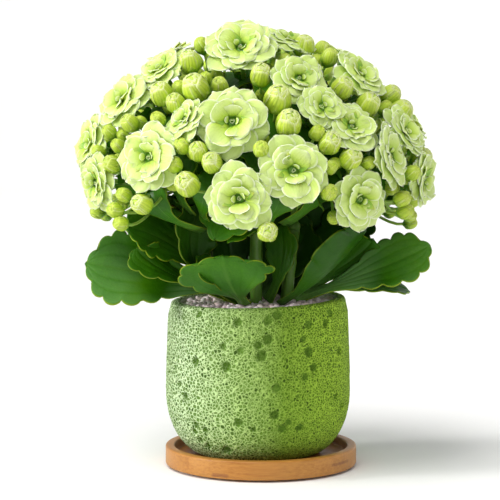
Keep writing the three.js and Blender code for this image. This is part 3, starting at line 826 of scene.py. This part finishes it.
def shell(grid, thickness, pointed=False):
    """A closed thin body round a grid of points, with a thickness at each."""
    across = np.gradient(grid, axis=1)
    ahead = np.gradient(grid, axis=0)
    normal = np.cross(ahead, across)
    length = np.linalg.norm(normal, axis=-1, keepdims=True)
    normal = np.where(length > 1e-12, normal / np.maximum(length, 1e-12), 0)
    if pointed:
        normal[-1] = normal[-2, normal.shape[1] // 2]
    half = thickness[..., None] / 2
    upper, lower = grid - normal * half, grid + normal * half
    n, m = grid.shape[:2]
    points = np.concatenate([upper.reshape(-1, 3), lower.reshape(-1, 3)])
    faces = []
    for i in range(n - 1):
        for j in range(m - 1):
            a = i * m + j
            faces.append((a, a + 1, a + m + 1, a + m))
            b = a + n * m
            faces.append((b, b + m, b + m + 1, b + 1))
    rim = [(0, j) for j in range(m)] + [(i, m - 1) for i in range(1, n)]
    rim += [(n - 1, j) for j in range(m - 2, -1, -1)] + [(i, 0) for i in range(n - 2, 0, -1)]
    for (i, j), (k, l) in zip(rim, rim[1:] + rim[:1]):
        a, b = i * m + j, k * m + l
        faces.append((b, a, a + n * m, b + n * m))
    return points, faces


def leaf_form(root, knee, tip, width, face, fold, chance, shade, rows=LEAF_ROWS, columns=LEAF_COLUMNS):
    """A leaf about its centre line, with marks for across, along and how much painted shade it gets."""
    root, knee, tip = (np.array(p) * MM for p in (root, knee, tip))
    width = width * MM
    control = 2 * knee - (root + tip) / 2
    share = 1 - (1 - np.linspace(0, 1, rows)) ** 2.2
    side = np.linspace(-1, 1, columns + 1)
    t = share[:, None]
    length = np.linalg.norm(knee - root) + np.linalg.norm(tip - knee)
    spoon = np.sin(math.pi * 0.93 * share ** 2) ** 0.8
    spoon *= (1 - np.clip((share - 0.8) / 0.2, 0, 1) ** 3) ** 0.6
    half = np.maximum(width / 2 * spoon, min(PETIOLE, width / 2) / 2 * (1 - share) ** 0.5)
    step_along, step_out = np.gradient(share * length), np.gradient(half)
    norm = np.hypot(step_along, step_out)
    way = np.r_[0, np.cumsum(norm)[:-1]]
    teeth = max(2.0, way[-1] / LOBE)
    way = way / way[-1]
    toothed = np.clip((way - 0.3) / 0.12, 0, 1)
    along_grid = np.repeat(t, len(side), axis=1) * length
    across_grid = np.outer(half, side)
    for sign in (-1, 1):
        phase = chance.uniform(0.2, 0.8)
        uneven = teeth * way + phase + 0.12 * np.sin(5 * way + 6 * phase)
        wave = np.abs(np.sin(math.pi * uneven)) ** 0.65 - 0.7
        push = LOBE_DEPTH * min(1, width / (26 * MM)) * wave * toothed
        mask = (side * sign > 0) * np.abs(side) ** 5
        along_grid += np.outer(push * -step_out / norm, mask)
        across_grid += np.outer(push * step_along / norm, mask * sign)
    at = np.clip(along_grid / length, 0, 1.12)[..., None]
    line = root * (1 - at) ** 2 + control * 2 * at * (1 - at) + tip * at ** 2
    ahead = 2 * (1 - t) * (control - root) + 2 * t * (tip - control)
    ahead /= np.linalg.norm(ahead, axis=1)[:, None]
    face = np.array(face) / np.linalg.norm(face)
    sideways = np.cross(face, ahead)
    sideways /= np.linalg.norm(sideways, axis=1)[:, None]
    normal = np.cross(ahead, sideways)
    rim = np.abs(side)
    raised = fold * np.outer(half, side ** 2)
    slow_wave = np.sin(TURN * (1.3 * way + chance.uniform())) * spoon
    raised += 0.7 * MM * np.outer(slow_wave, rim ** 2 * np.sign(side))
    quick_wave = np.sin(TURN * (2.1 * way + chance.uniform())) * spoon
    raised += 0.5 * MM * np.outer(quick_wave, rim ** 3)
    groove = np.exp(-(across_grid / (0.8 * MM)) ** 2)
    ribs = 0.5 + 0.5 * np.cos(TURN * 3 * rim)
    raised -= (0.35 * MM * groove) * np.minimum(1, spoon * 1.5)[:, None]
    raised -= 0.12 * MM * np.outer(spoon * (1 - share), ribs)
    grid = line + across_grid[..., None] * sideways[:, None, :] + raised[..., None] * normal[:, None, :]
    even = np.ones_like(across_grid)
    thickness = LEAF_MARGIN + (LEAF_THICKNESS - LEAF_MARGIN) * (1 - rim ** 2.5) * even
    thickness *= min(1, width / (20 * MM))
    thickness += 0.8 * MM * groove * (1 - t) ** 2
    marks = np.stack([rim * even, t * even, shade * even, even], axis=-1).reshape(-1, 4)
    marks[-len(side):, 0] = 1
    points, faces = shell(grid, thickness, True)
    return points, faces, np.concatenate([marks, marks])


# Fine ribs that run along a blade or a petal, from 0 between two ribs to 1 on top of one.
RIBS, ribs_in, ribs_out = shader_group(
    "Ribs", [("Across", "Float", 0.0), ("Angle", "Float", 10.0)], [("Rib", "Float")])
rib_wave = math_node(RIBS, "SINE", times(RIBS, ribs_in.outputs[0], ribs_in.outputs[1]))
RIBS.links.new(math_node(RIBS, "ABSOLUTE", rib_wave), ribs_out.inputs[0])


def ribbed(tree, across, angle):
    """Ribs over half a blade. The angle in radians says how many."""
    return node(tree, "Group", {"Across": across, "Angle": angle}, node_tree=RIBS).outputs["Rib"]


leaf_skin, tree, shader = material("leaf_skin", (0.05, 0.19, 0.012), 0.4, Specular_IOR_Level=0.16,
                                   Subsurface_Weight=0.08, Subsurface_Scale=1.2 * MM)
marks = marks_at(tree)
across, along = marks[0], marks[1]
tone = mottle(tree, 60, 1300, 0.22)
color = ramp(tree, tone, [(0.3, (0.018, 0.09, 0.001)), (0.5, (0.038, 0.155, 0.002)),
                          (0.72, (0.075, 0.22, 0.004))])
waxy = grain(tree, 28, 2)
ribs = ribbed(tree, across, 9.4)
# Painted sheen: the grey film is partly wax bloom and partly a painted reflection of the bright room on the
# waxy skin. It fades towards the tip and is nearly gone on leaves with painted shade.
wax_and_painted_sheen = times(tree, between(tree, waxy, 0.42, 0.58), between(tree, ribs, 0.0, 0.6, 0.3, 1.0))
wax_and_painted_sheen = times(tree, wax_and_painted_sheen, between(tree, along, 0.3, 0.9, 0.75, 0.12))
wax_and_painted_sheen = times(tree, wax_and_painted_sheen, between(tree, marks[2], 0.0, 0.1, 1.0, 0.12))
color = blend(tree, wax_and_painted_sheen, color, (0.15, 0.31, 0.10))
near_midrib = between(tree, across, 0.015, 0.06, 1.0, 0.0)
midrib = times(tree, near_midrib, between(tree, along, 0.2, 0.9, 0.6, 0.1))
color = blend(tree, midrib, color, (0.12, 0.25, 0.045))
color = blend(tree, between(tree, along, 0.3, 0.0, 0.0, 0.5), color, (0.15, 0.30, 0.05))
margin = between(tree, across, 0.965, 1.0, 0.0, 0.7)
color = blend(tree, margin, color, (0.27, 0.37, 0.015))
# Painted shade: leaves inside and under the plant are painted darker by their third mark.
color = blend(tree, marks[2], color, (0.006, 0.035, 0.001))
tree.links.new(color, shader.inputs["Base Color"])
tree.links.new(between(tree, waxy, 0.4, 0.6, 0.32, 0.46), shader.inputs["Roughness"])
relief = math_node(tree, "ADD", grain(tree, 850, 2), times(tree, ribs, 0.8))
bump(tree, shader, relief, 0.16 * MM, 0.5)

# Leaves that stand between the stalks or under others get painted shade: number and how much.
PAINTED_SHADE_LEAVES = {1: 0.08, 3: 0.1, 4: 0.2, 5: 0.5, 8: 0.4, 9: 0.55, 10: 0.62, 11: 0.15}
chance = np.random.default_rng(21)
for number, leaf in enumerate(LEAVES):
    points, faces, leaf_marks = leaf_form(*leaf, chance, PAINTED_SHADE_LEAVES.get(number + 1, 0))
    blade = shown(f"blade_{number + 1:02d}", points.tolist(), faces, leaf_skin, leaf_marks)
    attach(blade, "root")
    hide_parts(f"leaf_{number + 1:02d}")

# Younger leaves that stand up between the stalks and close the view through the plant.
INNER_LEAVES = [
    ((2, 1, 68), (5, 6, 88), (8, 9, 109), 27, (0.1, -0.95, 0.2), 0.12),
    ((8, 3, 68), (21, 9, 87), (33, 10, 105), 29, (-0.1, -0.9, 0.4), 0.15),
    ((-5, 3, 68), (-15, 9, 88), (-25, 11, 108), 28, (0.1, -0.9, 0.3), 0.12),
    ((3, 9, 68), (-1, 16, 92), (-5, 17, 117), 27, (0, -1, 0.1), 0.1),
    ((10, 1, 68), (28, 4, 88), (44, 5, 103), 25, (-0.2, -0.8, 0.6), 0.15),
    ((-9, 1, 68), (-30, 3, 90), (-45, 4, 104), 25, (0.2, -0.8, 0.6), 0.15),
    ((1, -3, 68), (12, -3, 82), (19, -3, 97), 22, (-0.4, -0.8, 0.4), 0.2),
    ((-3, -2, 68), (-12, -4, 84), (-12, -6, 101), 22, (0.5, -0.8, 0.3), 0.2),
    ((-3, 12, 68), (-13, 25, 90), (-22, 32, 108), 27, (0, 0.9, 0.4), 0.12),
    ((6, 12, 68), (15, 25, 90), (21, 32, 107), 27, (0.2, 0.9, 0.3), 0.12),
]
INNER_SHADE = 0.8  # how much painted shade they and the crown's small leaves get
CROWN_SHADE = 0.12
CROWN_LEAVES = 104  # small leaves in a dome behind the blooms and buds
CROWN_LEAF_ROWS, CROWN_LEAF_COLUMNS = 24, 10
heap = Heap()
for leaf in INNER_LEAVES:
    heap.add(*leaf_form(*leaf, chance, INNER_SHADE))
for bearing, elevation in spread_over_crown(CROWN_LEAVES, lowest=-8, highest=80):
    outwards = direction(bearing, elevation)
    middle = CROWN_CENTRE + CROWN_RADII * outwards * chance.uniform(0.58, 0.72)
    upwards = np.array([0, 0, 1.0]) - outwards * outwards[2]
    upwards = around(unit(upwards), outwards, chance.normal(0, 0.5))
    half = chance.uniform(10, 13) * MM
    inwards = 0.35 + 0.9 * float(np.clip((30 - elevation) / 30, 0, 1))
    root = middle - half * (upwards + inwards * outwards)
    knee = middle + 0.2 * half * outwards
    tip = middle + half * (upwards - 0.1 * outwards)
    heap.add(*leaf_form(root / MM, knee / MM, tip / MM, chance.uniform(13, 17), outwards, 0.15, chance,
                        CROWN_SHADE, CROWN_LEAF_ROWS, CROWN_LEAF_COLUMNS))
inner_blades = heap.show("inner_blades", leaf_skin)
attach(inner_blades, "root")


# ---------------------------------------------------------------- Bracts
# Pairs of narrow little leaves where the branches fork, with more under each cluster of buds. They
# are grown on the stalks, carry a little painted shade and turn the middle of the crown dark green.

BRACT_PAIRS = ((5, 19.0), (10, 16.0), (14, 11.0))  # step along the branch and length in mm
BRACT_ROWS, BRACT_COLUMNS = 22, 8
chance = np.random.default_rng(41)
for number, branches in enumerate(BRANCHES):
    heap = Heap()
    for branch in branches:
        for step, reach in BRACT_PAIRS:
            at = branch[step]
            ahead = unit(branch[step + 1] - at)
            side = unit(np.cross(ahead, chance.normal(0, 1, 3)))
            for sign in (-1, 1):
                size = reach * chance.uniform(0.8, 1.2) * MM
                knee = at + (ahead * 0.42 + sign * side * 0.30) * size
                tip = at + (ahead * 0.80 + sign * side * 0.55) * size
                leaf = (at / MM, knee / MM, tip / MM, 0.42 * size / MM, ahead - sign * side * 0.6, 0.2)
                heap.add(*leaf_form(*leaf, chance, CROWN_SHADE, BRACT_ROWS, BRACT_COLUMNS))
    bracts = heap.show(f"bracts_{number + 1:02d}", leaf_skin)
    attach(bracts, "root")


# ---------------------------------------------------------------- Calyxes
# Four pointed green sepals on a small cup, behind every bloom and hugging the lower half of every
# bud. They grow out of the pedicel.

def turned_to(facing, spin):
    """The rotation that takes +Z onto facing, after a spin about +Z."""
    turn = Vector((0, 0, 1)).rotation_difference(Vector(facing)).to_matrix()
    return np.array(turn @ Matrix.Rotation(spin, 3, "Z"))


def around_axis(points, turn):
    """The points turned about the Z axis."""
    c, s = math.cos(turn), math.sin(turn)
    return points @ np.array([[c, s, 0], [-s, c, 0], [0, 0, 1]])


SEPALS = 4
SEPAL_THICKNESS = 0.35 * MM
SEPAL_ROWS, SEPAL_COLUMNS = 8, 5


def sepal_form(length, width, foot, rise, inward):
    """A pointed sepal that leaves the cup at foot and closes inward over the petals."""
    t = np.linspace(0, 1, SEPAL_ROWS)
    side = np.linspace(-1, 1, SEPAL_COLUMNS)
    half = width / 2 * np.sin(math.pi * (0.22 + 0.78 * t)) ** 0.8
    half[-1] = 0.03 * width
    lean = rise + inward * t
    step = length / (SEPAL_ROWS - 1)
    reach = foot + np.r_[0, np.cumsum(np.cos(lean[:-1]) * step)]
    up = np.r_[0, np.cumsum(np.sin(lean[:-1]) * step)]
    w = np.outer(half, side)
    bulge = (w ** 2) / max(foot, width) * 0.5
    even = np.ones_like(w)
    grid = np.stack([reach[:, None] - bulge, w, up[:, None] * even], axis=-1)
    points, faces = shell(grid, SEPAL_THICKNESS * even)
    marks = np.stack([t[:, None] * even, 0 * even, 0 * even, even], axis=-1).reshape(-1, 4)
    return points, faces, np.concatenate([marks, marks])


cup_profile = np.array([[0, -1.0], [0.45, -0.9], [0.85, -0.45], [1.0, 0.1], [0.85, 0.55], [0, 0.6]])
cup_points, cup_faces = turned(cup_profile, 14)
cup_points = np.array(cup_points)
BLOOM_CUP = np.array([2.3, 2.3, 1.6]) * MM
BUD_CUP = np.array([0.27, 0.27, 0.2])  # as shares of the bud's width

calyx_skin, tree, shader = material("calyx_skin", (0.16, 0.34, 0.03), 0.45, Subsurface_Weight=0.15,
                                    Subsurface_Scale=1.0 * MM)
marks = marks_at(tree)
tone = mottle(tree, 200, 1800, 0.4)
color = ramp(tree, marks[0], [(0.0, (0.13, 0.33, 0.02)), (0.6, (0.25, 0.45, 0.03)),
                              (1.0, (0.5, 0.58, 0.08))])
color = blend(tree, between(tree, tone, 0.3, 0.7, 0.0, 0.35), color, (0.08, 0.22, 0.012))
tree.links.new(color, shader.inputs["Base Color"])
bump(tree, shader, tone, 0.15 * MM, 0.5)

chance = np.random.default_rng(8)
first_bloom = 0
for number, (_, _, bloom_count, _) in enumerate(STALKS):
    heap = Heap()
    for centre, facing, width in BLOOMS[first_bloom:first_bloom + bloom_count]:
        base = centre - facing * BLOOM_BACK * width
        turn = turned_to(facing, chance.uniform(0, TURN))
        heap.add((cup_points * BLOOM_CUP) @ turn.T + base + facing * 0.5 * MM, cup_faces)
        for k in range(SEPALS):
            points, faces, sepal_marks = sepal_form(0.21 * width, 0.13 * width, 1.7 * MM, 0.75, -0.35)
            points = around_axis(points, k * TURN / SEPALS) @ turn.T + base + facing * 1.4 * MM
            heap.add(points, faces, sepal_marks)
    first_bloom += bloom_count
    for stalk_number, centre, facing, width in BUDS:
        if stalk_number != number:
            continue
        turn = turned_to(facing, chance.uniform(0, TURN))
        base = centre - facing * 0.55 * width
        cup = (cup_points * BUD_CUP * width) @ turn.T + base + facing * 0.06 * width
        heap.add(cup, cup_faces, (0.05, 0, 0, 1))
        for k in range(SEPALS):
            spread = chance.uniform(-0.05, 0.12)
            points, faces, sepal_marks = sepal_form(0.62 * width, 0.36 * width, 0.2 * width,
                                                    0.42 - spread, 1.35 + spread)
            points = around_axis(points, k * TURN / SEPALS) @ turn.T + base + facing * 0.02 * width
            heap.add(points, faces, sepal_marks)
    calyxes = heap.show(f"calyxes_{number + 1:02d}", calyx_skin)
    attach(calyxes, "root")


# ---------------------------------------------------------------- Buds
# Closed buds: the petals are wound round each other, so each bud is an egg with spiral laps that
# meet in a small frilly point. Cream along the laps, lime with fine ribs between them, greener at
# the foot.

# Layers of a bud, outermost first: petals, reach, how far up they close, half their width in turns.
BUD_LAYERS = [(4, 0.50, 0.84, 0.17), (4, 0.487, 0.93, 0.18), (3, 0.47, 0.995, 0.22)]
BUD_PETAL_THICKNESS = 0.022  # as a share of the bud's width
BUD_FOOT = 0.05  # where the petals start, from foot to tip
LARGE_BUD, LARGE_BUD_MESH = 6.4 * MM, (10, 9)  # rows and columns of a petal's mesh
SMALL_BUD_MESH = (7, 6)
RIPE_BUD = 7.5 * MM  # narrower buds are greener


def bud_outline(v):
    """Reach and height of an egg of width one, for v from its foot to its tip."""
    return np.sin(math.pi * np.clip(v, 0, 1) ** 0.92) ** 0.72, -0.55 * np.cos(math.pi * v) + 0.05 * v ** 6


def bud_form(chance, rows, columns):
    """A bud of width one about its centre, with marks for across, along, layer and chance."""
    heap = Heap()
    wind = chance.choice([-1, 1]) * chance.uniform(0.06, 0.16)
    t = np.linspace(0, 1, rows)[:, None]
    side = np.linspace(-1, 1, columns)[None, :]
    even = np.ones((rows, columns))
    for layer, (count, reach, top, half_turn) in enumerate(BUD_LAYERS):
        start = chance.uniform(0, 1)
        for k in range(count):
            rounded = top * (1 - 0.13 * side ** 2) * chance.uniform(0.96, 1.02)
            v = BUD_FOOT + t * (rounded - BUD_FOOT)
            out, up = bud_outline(v)
            narrow = 0.75 + 0.25 * np.sin(math.pi * v)
            turn = TURN * (start + k / count + side * half_turn * narrow + wind * v ** 2)
            lap = 0.05 * (side * math.copysign(1, wind) + 1) / 2 * np.sin(math.pi * t) ** 0.5
            frill = 0.016 * np.sin(8 * side + chance.uniform(0, TURN)) * t ** 3
            open_lip = 0.035 * np.clip((t - 0.75) / 0.25, 0, 1) ** 2 * (3 - layer) / 3
            radius = reach * out * (0.96 + lap * 2) + frill + open_lip
            grid = np.stack([radius * np.cos(turn), radius * np.sin(turn), up * even], axis=-1)
            points, faces = shell(grid, BUD_PETAL_THICKNESS * even)
            marks = [np.abs(side) * even, t * even, layer / 2 * even, chance.uniform() * even]
            marks = np.stack(marks, axis=-1).reshape(-1, 4)
            heap.add(points, faces, np.concatenate([marks, marks]))
    core_out, core_up = bud_outline(np.linspace(0, 1, 9))
    core, core_faces = turned(np.stack([0.43 * core_out, core_up * 0.97], axis=1), 10)
    heap.add(np.array(core), core_faces, (0, 0.82, 1, 1))
    return np.concatenate(heap.points), heap.faces, np.concatenate(heap.marks)


BUD_RIBS = 11.0  # angle that the ribs cover over half a petal
bud_skin, tree, shader = material("bud_petal", (0.6, 0.7, 0.25), 0.5, Subsurface_Weight=0.3,
                                  Subsurface_Scale=1.5 * MM)
shader.inputs["Subsurface Radius"].default_value = (1.0, 1.0, 0.35)
marks = marks_at(tree)
tone = mottle(tree, 260, 1600, 0.4)
across, along = marks[0], marks[1]
lime = ramp(tree, along, [(0.0, (0.13, 0.33, 0.003)), (0.35, (0.39, 0.62, 0.01)), (0.7, (0.56, 0.74, 0.035)),
                          (1.0, (0.66, 0.77, 0.11))])
fan = ribbed(tree, across, BUD_RIBS)
color = blend(tree, between(tree, fan, 0.0, 0.6, 0.5, 0.0), lime, (0.27, 0.50, 0.006))
at_sides, at_tip = between(tree, across, 0.78, 1.0, 0.0, 0.6), between(tree, along, 0.88, 1.0, 0.0, 0.85)
edge = math_node(tree, "MAXIMUM", at_sides, at_tip)
edge = times(tree, edge, between(tree, along, 0.35, 0.8, 0.1, 1.0))
color = blend(tree, edge, color, (0.82, 0.88, 0.45))
color = blend(tree, between(tree, tone, 0.35, 0.7, 0.0, 0.35), color, (0.36, 0.55, 0.05))
tree.links.new(color, shader.inputs["Base Color"])
bump(tree, shader, math_node(tree, "ADD", tone, fan), 0.17 * MM, 0.7)

chance = np.random.default_rng(17)
for number in range(len(STALKS)):
    heap = Heap()
    for stalk_number, centre, facing, width in BUDS:
        if stalk_number != number:
            continue
        bud_mesh = LARGE_BUD_MESH if width > LARGE_BUD else SMALL_BUD_MESH
        points, faces, bud_marks = bud_form(chance, *bud_mesh)
        bud_marks[:, 1] *= 0.5 + 0.5 * min(1, width / RIPE_BUD)
        turn = turned_to(facing, chance.uniform(0, TURN))
        heap.add(points * width @ turn.T + centre, faces, bud_marks)
    buds = heap.show(f"buds_{number + 1:02d}", bud_skin)
    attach(buds, "root")


# ---------------------------------------------------------------- Blooms
# Open double blooms: whorls of thin broad petals, the outer ones nearly flat and rounded with a tiny
# point, the inner ones cupped, and small curled lips round a dark green throat. Pale lime, whiter at
# the edges.

# Whorls, outermost first: petals, length, width and foot as shares of the bloom's radius, rise at
# foot and at tip in degrees, height of the foot, cupping.
WHORLS = [
    (5, 0.90, 0.80, 0.15, 46, -14, -0.06, -0.06),
    (5, 0.86, 0.78, 0.15, 54, -8, -0.03, -0.05),
    (5, 0.69, 0.78, 0.15, 66, 0, 0.00, -0.02),
    (4, 0.52, 0.74, 0.14, 76, 9, 0.03, 0.01),
    (2, 0.36, 0.58, 0.13, 84, 22, 0.05, 0.06),
    (2, 0.17, 0.20, 0.10, 88, 50, 0.04, 0.30),
    (5, 0.12, 0.08, 0.035, 80, 84, -0.03, 0.40),
]
PETAL_THICKNESS = 0.2 * MM
PETAL_ROWS = 14
PETAL_COLUMNS = 11
PETAL_VEINS = 15.0  # angle that the veins cover over half a petal
FULLNESS = 0.7  # how much of a petal's breadth it gains from foot to middle
WIDEST = 0.58  # where along the petal
BLOOM_DEPTH = 0.16  # how far the feet of the petals sit under the bloom's centre


def petal_form(length, width, foot, rise, droop, height, cup, chance):
    """A petal that leaves the bloom's axis along X, with its shares along and across."""
    t = 1 - (1 - np.linspace(0, 1, PETAL_ROWS)) ** 1.6
    side = np.sin(np.linspace(-1, 1, PETAL_COLUMNS) * math.pi / 2)
    swell = 1 - FULLNESS + FULLNESS * np.sin(math.pi / 2 * np.minimum(t / WIDEST, 1)) ** 1.1
    rounded = np.clip((t - 0.5) / 0.5, 0, 1) ** 2.4
    half = width / 2 * swell * np.sqrt(1 - rounded)
    half[-1] = 0.08 * width
    lean = np.radians(droop + (rise - droop) * (1 - t) ** 2.6 + chance.normal(0, 6))
    step = np.diff(t, prepend=0) * length
    reach = foot + np.cumsum(np.cos(lean) * step)
    up = height + np.cumsum(np.sin(lean) * step)
    w = np.outer(half, side)
    point = 0.02 * length * np.exp(-(side / 0.2) ** 2) * np.clip((t - 0.9) / 0.1, 0, 1)[:, None]
    round_end = -0.03 * length * np.outer(np.clip((t - 0.5) / 0.5, 0, 1) ** 2, side ** 2)
    nicks = 0.012 * length * np.outer(t ** 4, np.sin(side * chance.uniform(7, 12) + chance.uniform(0, TURN)))
    out = point + round_end + nicks
    frill = 0.06 * width * np.outer(t ** 2, np.sin(side * chance.uniform(2, 4.5) + chance.uniform(0, TURN)))
    roll = chance.normal(0, 0.07)
    lifted = cup * w ** 2 / (width / 2) + frill + roll * np.outer(t, side) * width / 2
    lifted += 0.02 * width * np.outer(np.sin(math.pi * t), np.cos(3 * math.pi * side))
    ahead, steep = np.cos(lean)[:, None], np.sin(lean)[:, None]
    along = reach[:, None] + out * ahead - lifted * steep
    rising = up[:, None] + out * steep + lifted * ahead
    return np.stack([along, w, rising], axis=-1), t, side


def bloom_form(width, chance):
    """A bloom about its centre, facing +Z, with marks for across, along, whorl and chance."""
    heap = Heap()
    radius = width / 2
    base_turn = chance.uniform(0, TURN)
    for whorl, (count, length, breadth, foot, rise, droop, height, cup) in enumerate(WHORLS):
        start = base_turn + (whorl % 2) * TURN / 10 + (whorl > 1) * chance.uniform(0, TURN)
        for k in range(count):
            size = chance.uniform(0.88, 1.04) * radius
            lap = (k % 2) * 0.02 * radius
            grid, t, side = petal_form(length * size, breadth * size, foot * radius, rise, droop,
                                       (height - BLOOM_DEPTH) * radius + lap, cup, chance)
            even = np.ones((len(t), len(side)))
            points, faces = shell(grid, PETAL_THICKNESS * even)
            uneven = chance.normal(0, 0.06 + 0.04 * (whorl > 1))
            points = around_axis(points, start + (k + uneven) * TURN / count)
            marks = [np.abs(side) * even, t[:, None] * even, whorl / (len(WHORLS) - 1) * even,
                     chance.uniform() * even]
            marks = np.stack(marks, axis=-1).reshape(-1, 4)
            heap.add(points, faces, np.concatenate([marks, marks]))
    return heap


petal_skin, tree, shader = material("bloom_petal", (0.75, 0.85, 0.45), 0.52, Subsurface_Weight=0.4,
                                    Subsurface_Scale=1.6 * MM)
shader.inputs["Subsurface Radius"].default_value = (1.0, 1.0, 0.4)
marks = marks_at(tree)
across, along, whorl = marks[0], marks[1], marks[2]
outer = ramp(tree, along, [(0.0, (0.22, 0.44, 0.004)), (0.3, (0.42, 0.63, 0.03)), (0.6, (0.53, 0.71, 0.15)),
                           (1.0, (0.63, 0.78, 0.29))])
inner = ramp(tree, along, [(0.0, (0.05, 0.16, 0.002)), (0.25, (0.34, 0.55, 0.008)),
                           (0.55, (0.56, 0.72, 0.14)), (1.0, (0.74, 0.84, 0.44))])
color = blend(tree, between(tree, whorl, 0.2, 0.9), outer, inner)
vein_lines = between(tree, ribbed(tree, across, PETAL_VEINS), 0.0, 0.4, 0.3, 0.0)
veins = times(tree, vein_lines, between(tree, along, 0.1, 0.9, 1.0, 0.3))
color = blend(tree, veins, color, (0.45, 0.62, 0.10))
pale = between(tree, across, 0.80, 1.0, 0.0, 0.8)
tipped = between(tree, along, 0.93, 1.0, 0.0, 0.8)
rim = math_node(tree, "MAXIMUM", pale, tipped)
rim = times(tree, rim, between(tree, whorl, 0.7, 0.9, 1.0, 0.1))
color = blend(tree, rim, color, (0.90, 0.94, 0.72))
tone = mottle(tree, 140, 1500, 0.5)
color = blend(tree, between(tree, tone, 0.4, 0.7, 0.0, 0.45), color, (0.46, 0.68, 0.12))
tree.links.new(color, shader.inputs["Base Color"])
bump(tree, shader, math_node(tree, "SUBTRACT", tone, times(tree, veins, 2.0)), 0.25 * MM, 0.8)

chance = np.random.default_rng(33)
for number, (centre, facing, width) in enumerate(BLOOMS):
    heap = bloom_form(width, chance)
    spin = turned_to(facing, chance.uniform(0, TURN))
    heap.points = [points @ spin.T + centre for points in heap.points]
    bloom = heap.show(f"open_bloom_{number + 1:02d}", petal_skin)
    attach(bloom, "root")
    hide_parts(f"bloom_{number + 1:02d}")


# ---------------------------------------------------------------- Table, light and camera
# A wide pale table whose edge curves up all round, two broad far-off lamps, low from the left and
# high above, a small disc lamp above the front and an even pale room. The camera stands low in front.

paper, tree, shader = material("pale_table", (0.9, 0.9, 0.9), 0.8)
tone = mottle(tree, 6, 300, 0.2)
tree.links.new(ramp(tree, tone, [(0.3, (0.90, 0.90, 0.90)), (0.7, (0.93, 0.93, 0.93))]),
               shader.inputs["Base Color"])
TABLE_FLAT = 1.5  # metres from the middle to where the edge starts to curve up
TABLE_CURVE = 0.9
TABLE_THICKNESS = 0.05
upturn = np.linspace(0, math.radians(65), 12)
curve = np.stack([TABLE_FLAT + TABLE_CURVE * np.sin(upturn), TABLE_CURVE * (1 - np.cos(upturn))], axis=1)
table_profile = np.concatenate([
    [[0, 0], [0.6, 0]], curve, [[2.5, 0.5], [2.4, -TABLE_THICKNESS], [0, -TABLE_THICKNESS]]])
table = shown("table_top", *turned(table_profile, 96), paper)

ROOM_BRIGHTNESS = 0.42
room = bpy.data.worlds.new("pale_room")
bpy.context.scene.world = room
room.use_nodes = True
room.node_tree.nodes["Background"].inputs["Color"].default_value = (1, 1, 1, 1)
room.node_tree.nodes["Background"].inputs["Strength"].default_value = ROOM_BRIGHTNESS


def stood(name, data, place, towards):
    """A lamp or camera at a place, looking along a direction."""
    made = bpy.data.objects.new(name, data)
    made.location = place
    made.rotation_euler = Vector(towards).to_track_quat("-Z", "Y").to_euler()
    bpy.context.scene.collection.objects.link(made)
    return made


# Far-off lamps: power, how soft the edge of their shadows is in degrees, and where they shine.
for name, power, softness, towards in (("window_left", 2.7, 14, (0.93, 0.2, -0.25)),
                                       ("window_above", 1.8, 35, (0.35, 0.28, -0.9))):
    window = bpy.data.lights.new(name, "SUN")
    window.energy = power
    window.angle = math.radians(softness)
    window.color = (1.0, 0.99, 0.97)
    stood(name, window, (0, 0, 0), towards)

LAMP_PLACE = Vector((-0.1, -0.6, 0.8))
LAMP_AIM = Vector((0, 0, 0.1))
disc_lamp = bpy.data.lights.new("top_front", "AREA")
disc_lamp.shape = "DISK"
disc_lamp.size = 0.6
disc_lamp.energy = 2.6
disc_lamp.color = (1.0, 1.0, 0.98)
stood("top_front", disc_lamp, LAMP_PLACE, LAMP_AIM - LAMP_PLACE)

CAMERA_PLACE = Vector((-4.4, -860, 172)) * MM
CAMERA_AIM = Vector((-4.4, 0, 86.7)) * MM
camera = bpy.data.cameras.new("camera")
camera.lens = 155.6
camera.sensor_width = 36
camera.clip_start = 0.05
bpy.context.scene.camera = stood("camera", camera, CAMERA_PLACE, CAMERA_AIM - CAMERA_PLACE)
bpy.context.scene.view_settings.view_transform = "Standard"
